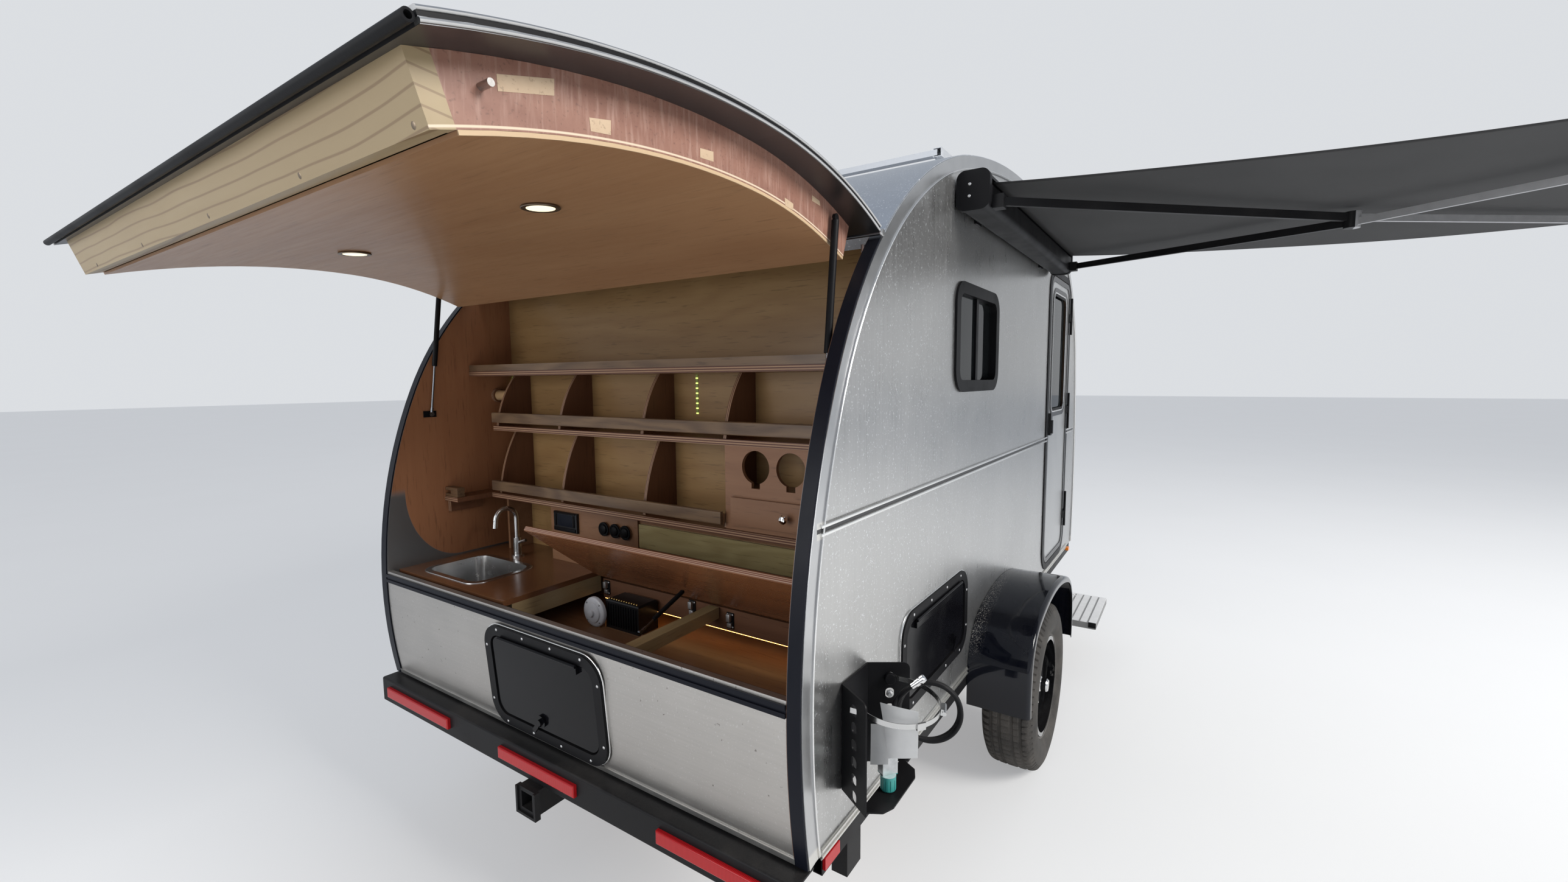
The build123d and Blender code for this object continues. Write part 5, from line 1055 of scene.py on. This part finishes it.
# %% Hatch edge and bulb
OUTER_BEAD = ((-24, 905), (-24, 914), (-22.8, 916.5), (-21, 917.5), (-19.2, 916.5), (-18.4, 914.8), (-18.4, 905))
INNER_BEAD = ((-12.8, 905), (-12.8, 914.8), (-12, 916.5), (-9.8, 917.5), (-7.6, 916.5), (-6.7, 914.8), (-6.5, 905))
EDGE_INSERT = ((-18.7, 905), (-18.7, 914.4), (-12.5, 914.4), (-12.5, 905))
BULB = [(9, 3.6), (0.6, 4.3), (0, 5.7), (0.6, 7.2), (1827.4, 7.2), (1828, 5.7), (1827.4, 4.3), (1819, 3.6)]
HINGE_END = [(-2, 7), (0, 9.5), (4, 9.5), (6, 8), (6.5, 4), (6.5, 0)]
hatch_places = stations(HATCH_LOW, HATCH_HIGH, (14.0, 10.0), 28.0)
edge_metal = mottled("hatch_edge_metal", 40, (0.42, 0.42, 0.42), (0.66, 0.66, 0.655), 0.2, 0.2, 0.95,
                     factors=(0.2, 1, 0.2))
for name, profile, finish, slot in (("outer", OUTER_BEAD, edge_metal, "bright_trim"),
                                    ("inner", INNER_BEAD, edge_metal, "bright_trim"),
                                    ("insert", EDGE_INSERT, satin_black, "black_trim")):
    swept("hatch_edge_" + name, profile, hatch_places, finish, slot, "hatch", raised)
turned("hatch_bulb_seal", BULB, raised(HATCH_LOW, 5.0, -13.8, -914), (0, 1, 0), rubber_black, "black_trim",
       "hatch", sides=24)
for side, sign in SIDES:
    turned("hinge_end_" + side, HINGE_END, at(hinge_x, sign * HALF, hinge_z), (0, sign, 0), edge_metal,
           "bright_trim", "hatch", sides=24)
    blocks("hinge_bracket_" + side, [((336, 372), either(sign, 876.3, 867), (1408, 1428))], edge_metal, "zinc")
print("edge swept through", len(hatch_places), "places")

# %% Downlights, shims and screws
LIGHT_TURN, LIGHT_DEPTH, LIGHT_REACH = 15.5, 83.0, 420  # degrees along the lower arc, mm inside it, mm aside
LIGHT_RING = [(1, 38.5), (6, 40.5), (7.2, 39.5), (7.6, 37), (7.2, 31), (6.4, 29.5), (6.4, 0)]
LIGHT_LENS = [(6.2, 29.6), (6.9, 29.2), (7.6, 22), (7.8, 10), (7.8, 0)]
SHIMS = (((-632, 1470), (-547, 1496), (-548, 1474), (-631, 1450)),
         ((-490, 1465), (-450, 1474), (-451, 1453), (-488, 1447)),
         ((-250, 1493), (-214, 1497), (-214, 1480), (-250, 1477)),
         ((18, 1471), (51, 1466), (51, 1452), (20, 1455)),
         ((130, 1502), (163, 1497), (166, 1487), (130, 1490)))
RIB_FACE = (847.0, 848.5)
warm_light = glowing("warm_light", (0.9, 0.8, 0.62), 1.1, lambda made: made.noise(40),
                     (1.0, 0.80, 0.48), (1.0, 0.88, 0.62))
shim_wood = wood("pale_shim", (0.55, 0.42, 0.29), (0.44, 0.31, 0.20), 9.0)
light_at = arc_length(HATCH_LOW, LIGHT_TURN)
inward = (raised(HATCH_LOW, light_at, LIGHT_DEPTH + 1) - raised(HATCH_LOW, light_at, LIGHT_DEPTH)).normalized()
for side, sign in SIDES:
    foot = raised(HATCH_LOW, light_at, LIGHT_DEPTH, sign * LIGHT_REACH)
    turned("downlight_ring_" + side, LIGHT_RING, foot, inward, bronze, "stainless", "hatch", sides=48)
    turned("downlight_lens_" + side, LIGHT_LENS, foot, inward, warm_light, "stainless", "hatch", sides=48)
for side, sign in SIDES:
    shape = bmesh.new()
    for corners in SHIMS:
        join(shape, [[shape.verts.new(at(x, sign * reach, z)) for x, z in corners] for reach in RIB_FACE])
    finished("rib_shims_" + side, shape, shim_wood, "birch", "hatch")
board_way = (raised(HATCH_LOW, 29.0) - raised(HATCH_LOW, 28.0)).normalized()
board_screws = [at(-721.3, y, 1386.6) for y in (-820, -504, -117, 300, 700)]
studs("hatch_board_screws", board_screws, -board_way, SCREW_RADIUS, 0.8, bronze, "zinc", "hatch")
print("hatch dressed, the left downlight is at", [round(value, 3) for value in foot])

# %% [markdown]
# ## Galley woods
# Each panel of the galley is a plywood of its own. Shelf boards and their dividers are one solid, but
# the grain of a board runs across and that of a divider runs up, so the direction that a face looks in
# chooses between two grains. The same trick counts the veneers on a cut edge: upward on a board,
# sideways on a divider.

# %% Shelves
SHELF_LEVELS = ((1114, 1134), (897, 917), (626, 646))
ROD_AT, ROD_END = (440, 1035), 764  # a round wooden rod beside the left wall
shelves = Finish("shelf_ply", coat_weight=0.08, coat_roughness=0.2, specular_ior_level=0.3)
# The shelves' tones are darker than the plywood's own: the galley's shade is painted into them.
board_colour, board_fine, board_bands = grain(shelves, (0.19, 0.085, 0.040), (0.105, 0.040, 0.019), ACROSS, 12.0)
upright_colour, _, _ = grain(shelves, (0.17, 0.072, 0.034), (0.085, 0.032, 0.016), UPWARD, 12.0)
facing_x, facing_y, _ = shelves.facing()
_, shelf_y, shelf_z = shelves.axes()
shelves.base(shelves.mix(facing_y.size().rise(0.6, 0.8), board_colour, upright_colour), board_fine * 0.16 + 0.34)
flat_board = sum(shelf_z.within(*map(high, limits)) for limits in SHELF_LEVELS)
layers_up = shelf_z.waves(0.0072).rise(0.35, 0.70)
layers_across = (shelf_y + 0.0035).waves(0.0060).rise(0.35, 0.70)
layer = layers_up * flat_board + layers_across * (1 - flat_board)
cut_edge = facing_x.rise(-0.72, -0.82).most(facing_x.rise(-0.35, -0.5) * (1 - flat_board))
shelves.paint(cut_edge, shelves.mix(layer, (0.085, 0.032, 0.020), (0.30, 0.185, 0.110)), 0.5)
rod = shelves.from_line(*ROD_AT).rise(0.0216, 0.0211) * shelf_y.rise(aside(ROD_END), aside(ROD_END + 1))
shelves.paint(rod, (0.44, 0.29, 0.15), 0.4)
shelves.bump(board_fine + board_bands * 0.2, 0.0004, 0.35)
dress(shelves, "galley_shelves")
print("shelves:", len(shelves.tree.nodes), "nodes")

# %% Plain panels
STOP_X, STOP_Y = (197, 227), (792, 876)
# The bulkhead's tones are darker than the birch's own: the galley's shade is painted into them.
PANELS = {"bulkhead": ("bulkhead_birch", (0.295, 0.180, 0.074), (0.200, 0.107, 0.040), 16.0),
          "galley_cabinet": ("cabinet_ply", (0.24, 0.125, 0.066), (0.165, 0.075, 0.038), 14.0),
          "cabin_floor": ("floor_ply", (0.30, 0.165, 0.085), (0.21, 0.105, 0.050), 12.0),
          "fiddle_rails": ("walnut_rail", (0.205, 0.130, 0.070), (0.080, 0.048, 0.030), 26.0, 0.38, 0.12, 1.3)}
for panel, tones in PANELS.items():
    dress(wood(*tones), panel)
walnut = wood("walnut_block", (0.17, 0.100, 0.050), (0.075, 0.042, 0.024), 26.0, 0.38, 0.12)
stop = [(STOP_X, STOP_Y, (645.3, 656)), (STOP_X, (792, 840), (656, 669)), (STOP_X, STOP_Y, (669, 681))]
blocks("side_shelf_stop", stop, walnut, "walnut", bevel=1.0)
print("plain panels:", len(PANELS))

# %% Worktop, lid and drawer
LID_SLOPE = radians(38)
worktop = wood("counter_ply", (0.20, 0.090, 0.040), (0.120, 0.048, 0.022), 10.0, 0.24, 0.24)
pale_board, _, _ = grain(worktop, (0.42, 0.33, 0.18), (0.28, 0.20, 0.10), ALONG, 20.0)
_, top_y, top_z = worktop.axes()
worktop.paint(top_y.rise(aside(243), aside(242.4)) * top_z.rise(high(380.2), high(379.8)), pale_board, 0.45)
dress(worktop, "counter")
lid_wood = wood("lid_ply", (0.215, 0.088, 0.038), (0.135, 0.050, 0.022), 12.0, 0.26, 0.20)
edge_way = Vector((cos(LID_SLOPE), 0, -sin(LID_SLOPE)))
through = Vector((sin(LID_SLOPE), 0, cos(LID_SLOPE)))
lid_edge = lid_wood.along(edge_way, lid_wood.place("Normal")).size().rise(0.9, 0.97)
veneers = lid_wood.along(through).waves(0.0045).rise(0.35, 0.65)
lid_wood.paint(lid_edge, lid_wood.mix(veneers, (0.15, 0.045, 0.03), (0.38, 0.25, 0.17)), 0.5)
dress(lid_wood, "counter_lid")
drawer_wood = wood("drawer_ply", (0.245, 0.132, 0.072), (0.175, 0.082, 0.042), 12.0)
drawer_wood.paint(drawer_wood.axes()[0].rise(fore(336.5), fore(336.1)), (0.80, 0.79, 0.77), 0.08, 1.0)
dress(drawer_wood, "drawer")
print("parts dressed so far:", len(dressed))

# %% [markdown]
# The back panel is one solid with a dark apron, a pale flap and a small control panel with a screen.
# Rectangles given in mm tell them apart. The sockets and the raised border of the control panel are
# pieces of their own.

# %% Back panel
SOCKET = [(-1, 26), (2, 26), (3.2, 25), (3.4, 21), (1.5, 19.5), (1.2, 17.5), (5.0, 16.8), (6.5, 15.0), (6.8, 0)]
SCREEN_Z = (540, 585)
back = wood("back_ply", (0.25, 0.132, 0.070), (0.175, 0.082, 0.041), 12.0)
back_x, _, back_z = back.axes()
apron_colour, _, _ = grain(back, (0.150, 0.072, 0.040), (0.092, 0.040, 0.021), ACROSS, 18.0)
flap_colour, _, _ = grain(back, (0.40, 0.335, 0.165), (0.22, 0.165, 0.070), ACROSS, 40.0)
control = patch(back, (339, 477), (517, 595)) * back_x.rise(fore(404.8), fore(404.2))
back.paint(back_z.rise(high(380), high(376)), apron_colour)
back.paint(patch(back, (-857, 12.5), (513.5, 596.5)), flap_colour, 0.34)
back.paint(control, DARK_FACE, 0.34)
back.paint(patch(back, (365, 451), SCREEN_Z) * control, (0.006, 0.008, 0.014), 0.08)
dress(back, "galley_back")
sockets = bmesh.new()
for y in (193.0, 135.0, 82.0):
    spin(sockets, SOCKET, at(396, y, 556), (-1, 0, 0), 40)
finished("panel_sockets", sockets, satin_black, "black_trim")
border = [((389.5, 394), (346, 470), z) for z in ((522, 534), (588, 592))]
border += [((390, 394), y, SCREEN_Z) for y in ((352, 360), (456, 464))]
blocks("controller_face", border, satin_black, "black_gloss", bevel=0.8)
print("galley woods done")

# %% [markdown]
# The open well holds the power supply, a pine brace and the pump. The supply's fins and terminals
# repeat at one spacing, and the pump's cover is a turned piece with four bolts.

# %% Open well
FIN_STEP, FINS = 12, range(12)
PUMP_Y, PUMP_Z, PUMP_FACE = 109, 302, 279
BOLT_CIRCLE, BOLT_ANGLES = 43, (45, 135, 225, 315)
PUMP_COVER = [(-1, 52), (8, 52), (11, 50), (13, 44), (14, 36), (18, 34), (19.5, 30), (20, 14),
              (27, 12), (28, 10), (28, 0)]
well = wood("well_ply", (0.30, 0.165, 0.085), (0.205, 0.100, 0.048), 12.0)
pine, _, _ = grain(well, (0.42, 0.32, 0.17), (0.27, 0.19, 0.09), ALONG, 20.0)
well.paint(patch(well, (-85, 75), (251, 352)) * well.axes()[0].within(fore(290), fore(382)), DARK_FACE, 0.3)
well.paint(patch(well, (-351, -309), (337, 375)), pine, 0.4)
dress(well, "galley_well")
white_coat = mottled("white_coat", 25, (0.50, 0.51, 0.54), (0.70, 0.71, 0.73), 0.3, 0.2)
turned("pump_cover", PUMP_COVER, at(PUMP_FACE, PUMP_Y, PUMP_Z), (-1, 0, 0), white_coat, "chassis_black", sides=56)
cover_bolts = []
for angle in BOLT_ANGLES:
    across, up = BOLT_CIRCLE * cos(radians(angle)), BOLT_CIRCLE * sin(radians(angle))
    cover_bolts.append(at(PUMP_FACE - 13, PUMP_Y + across, PUMP_Z + up))
studs("pump_cover_bolts", cover_bolts, (-1, 0, 0), 3.6, 3.0, zinc, "zinc")
studs("supply_terminals", [at(303, -66 + FIN_STEP * fin, 350) for fin in FINS], UP, 3.6, 3.5, brass, "zinc")
fins = [((288.5, 293), (-74 + FIN_STEP * fin, -70 + FIN_STEP * fin), (262, 338)) for fin in FINS]
blocks("supply_fins", fins, satin_black, "chassis_black", bevel=0.8)
print("fins:", len(fins))

# %% [markdown]
# ## Lights and hinges in the galley
# Two light strips run up the bulkhead and one lies under the apron. A strip is a thin bar whose glow
# repeats along its length. The lid's three hinges are the folding kind: a wall plate, an arm and a
# knuckle.

# %% Strips
STRIP_X = (508.5, 511.9)
cold_strip = glowing("cold_strip", (0.05, 0.05, 0.03), 1.6,
                     lambda made: made.axes()[2].waves(0.017).rise(0.72, 0.92),
                     (0.05, 0.06, 0.01), (0.72, 0.86, 0.22))
warm_strip = glowing("warm_strip", (0.6, 0.4, 0.2), 5.0, lambda made: made.axes()[1].waves(0.016),
                     (0.75, 0.33, 0.09), (1.0, 0.55, 0.20))
uprights = [(STRIP_X, (869, 876), (1058, 1112)), (STRIP_X, (-171, -163), (978, 1112))]
blocks("bulkhead_strips", uprights, cold_strip, "stainless", bevel=0.4)
blocks("apron_strip", [((392, 399), (-858, 192), (299.5, 302.9))], warm_strip, "stainless", bevel=0.6)

# %% Lid hinges
HINGE_PLACES = ((174, 346), (-235, 350), (-393, 340))
plates, arms, heads = [], [], []
for y, z in HINGE_PLACES:
    plates += [((385.5, 389.2), (y - 14, y + 14), (z - 28, z + 24))]
    arms += [((372, 386), (y - 7, y + 7), (z - 2, z + 22)), ((378, 387), (y - 8, y + 8), (z - 22, z - 8))]
    heads += [at(385.5, y + across, z + up) for across in (-10, 10) for up in (-22, 18)]
blocks("lid_hinge_plates", plates, satin_black, "black_frame", bevel=1.0)
blocks("lid_hinge_arms", arms, zinc, "zinc", bevel=1.6)
studs("lid_hinge_screws", heads, (-1, 0, 0), 3.4, 1.6, zinc, "zinc")
print("lid hinges:", len(plates))

# %% [markdown]
# ## Gas bracket, regulator and tags
# The strap's knob and fitting are turned, and the regulator changes from cast metal to a teal cap
# near its foot. Two blank paper tags hang behind the strap. Their sheets are a little curled, so each
# is a small grid rather than a plate.

# %% Regulator and fittings
STRAP_X, STRAP_Y, STRAP_OUT = 315.8, -965, Vector((-0.84, -0.54, 0))
KNOB = [(-4, 5), (1, 5), (1.5, 13), (3, 14.2), (14, 14.2), (15.5, 13), (16, 5), (16, 0)]
NUT = [(-4, 5), (0.5, 5), (0.6, 9.6), (6.4, 9.6), (7, 8.6), (9, 5.5), (11, 5.2), (11, 0)]
regulator = mottled("regulator", 80, (0.34, 0.35, 0.36), (0.58, 0.59, 0.60), 0.30, 0.15, 0.85, detail=3)
regulator.paint(regulator.axes()[2].rise(high(149), high(147.5)), (0.03, 0.24, 0.22), 0.35, 0.0)
dress(regulator, "gas_regulator")
turned("strap_knob", KNOB, at(STRAP_X, STRAP_Y, 333), STRAP_OUT, satin_black, "bracket_black", sides=28)
turned("strap_nut", NUT, at(STRAP_X, STRAP_Y, 291), STRAP_OUT, zinc, "zinc", sides=6)

# %% Tags and hose coupling
TAG_STEPS, TAG_THICKNESS = 8, 0.4
COUPLING = [(-4, 5.8), (-4, 7.2), (8, 7.2), (8.5, 8.6), (19, 8.6), (19.5, 6.6), (24, 6.6), (24, 9.5),
            (33, 9.5), (34.5, 8)]
paper = mottled("blank_paper", 22, (0.46, 0.46, 0.46), (0.62, 0.62, 0.61), 0.7, 0.0)
paper.bump(paper.noise(22), 0.002, 0.4)


def tag(name, x, corners, curl):
    """A thin blank tag through four (y, z) corners, curled toward the rear along its foot."""
    shape = bmesh.new()
    grids = []
    for side in (0.0, TAG_THICKNESS):
        rows = []
        for down in range(TAG_STEPS + 1):
            v = down / TAG_STEPS
            row = []
            for along in range(TAG_STEPS + 1):
                u = along / TAG_STEPS
                weights = ((1 - u) * (1 - v), u * (1 - v), u * v, (1 - u) * v)
                y, z = [sum(weight * corner[i] for weight, corner in zip(weights, corners)) for i in (0, 1)]
                row.append(shape.verts.new(at(x - curl * v * v - curl * 0.4 * sin(pi * u) + side, y, z)))
            rows.append(row)
        grids.append(rows)
    for rows in grids:
        for upper, lower in zip(rows, rows[1:]):
            for i in range(TAG_STEPS):
                shape.faces.new((upper[i], upper[i + 1], lower[i + 1], lower[i]))
    front, behind = [rows[0] + [row[-1] for row in rows[1:]] + rows[-1][-2::-1] + [row[0] for row in rows[-2:0:-1]]
                     for rows in grids]
    for i in range(len(front)):
        after = (i + 1) % len(front)
        shape.faces.new((front[i], front[after], behind[after], behind[i]))
    return finished(name, shape, paper, "rack_aluminium")


tag("tag_upper", 168, ((-1006, 343), (-1100, 348), (-1101, 241), (-1030, 217)), curl=5)
tag("tag_lower", 172, ((-981, 281), (-1027, 295), (-1028, 198), (-982, 182)), curl=4)
coupling = turned("hose_coupling", COUPLING, turns[0], (turns[0] - turns[1]).normalized(), chrome, "stainless")
print("parts dressed so far:", len(dressed))

# %% [markdown]
# ## Awning
# The cloth is a stretched sheet. It is drawn as a fine grid between the case and the lead rail, sags
# a little and ripples where the folding arms tighten it, and is then given thickness. Its finish has
# a fine weave, a hem along each side, and is a little paler where dust lies.

# %% Awning sheet
AWNING_X = (950.0, 2385.0)
CASE_Y, CASE_Z = -1023.0, 1704.0
RAIL_Y, RAIL_Z = -2981.0, 1636.0
SAG, RIPPLE, WAIST, HEM = 30.0, 8.8, 9.0, 26
CLOTH_THICKNESS = 0.0012
COLUMNS, ROWS = 60, 80
cloth = Finish("awning_cloth", specular_ior_level=0.2)
cloth_x, cloth_y, _ = cloth.axes()
weave = cloth_x.waves(0.0016) * cloth_y.waves(0.0016)
faded = cloth.noise(3, detail=5)
cloth.base(cloth.mix(faded * 0.7 + weave * 0.3, (0.030, 0.030, 0.031), (0.070, 0.070, 0.072)), 0.7)
hems = 1 - cloth_x.within(fore(AWNING_X[0] + HEM), fore(AWNING_X[1] - HEM), 0.001)
cloth.paint(hems * 0.6, (0.020, 0.020, 0.021))
cloth.bump(weave * 0.5 + hems, 0.0005, 0.5)


def sheet_height(share, side):
    """How high the cloth hangs at a share of its reach, and how far over its width."""
    straight = CASE_Z + (RAIL_Z - CASE_Z) * share
    return straight - (4 * SAG - RIPPLE * sin(9.0 * share + 5.0 * side)) * share * (1 - share)


shape = bmesh.new()
grid = []
for row in range(ROWS + 1):
    share = row / ROWS
    line = []
    for column in range(COLUMNS + 1):
        side = column / COLUMNS
        x = AWNING_X[0] + (AWNING_X[1] - AWNING_X[0]) * side - WAIST * sin(pi * share) * (2 * side - 1)
        line.append(shape.verts.new(at(x, CASE_Y + (RAIL_Y - CASE_Y) * share, sheet_height(share, side) - 1.5)))
    grid.append(line)
for near, far in zip(grid, grid[1:]):
    for column in range(COLUMNS):
        shape.faces.new((near[column], near[column + 1], far[column + 1], far[column]))
awning = finished("awning_sheet", shape, cloth, "awning_cloth")
thick = awning.modifiers.new("thickness", "SOLIDIFY")
thick.thickness = CLOTH_THICKNESS
thick.offset = 0
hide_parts("awning_fabric")
print("cloth faces", len(awning.data.polygons))

# %% Awning arms and cap screws
arm_paint = black("arm_paint", (0.010, 0.010, 0.011), 0.34, 0.2)
arm_metal = arm_paint.mix(arm_paint.noise(30), (0.40, 0.40, 0.41), (0.56, 0.56, 0.57))
arm_paint.paint(arm_paint.axes()[1].within(aside(-2974), aside(-1990), 0.001), arm_metal, 0.35, 0.7)
dress(arm_paint, "awning_arms")
studs("awning_cap_screws", [at(905, -962, 1698), at(905, -961, 1662)], (-1, 0, 0), 5.0, 2.2, zinc, "zinc")
print("nodes left plain, which pieces stand for:", sorted(set(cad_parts) - dressed))
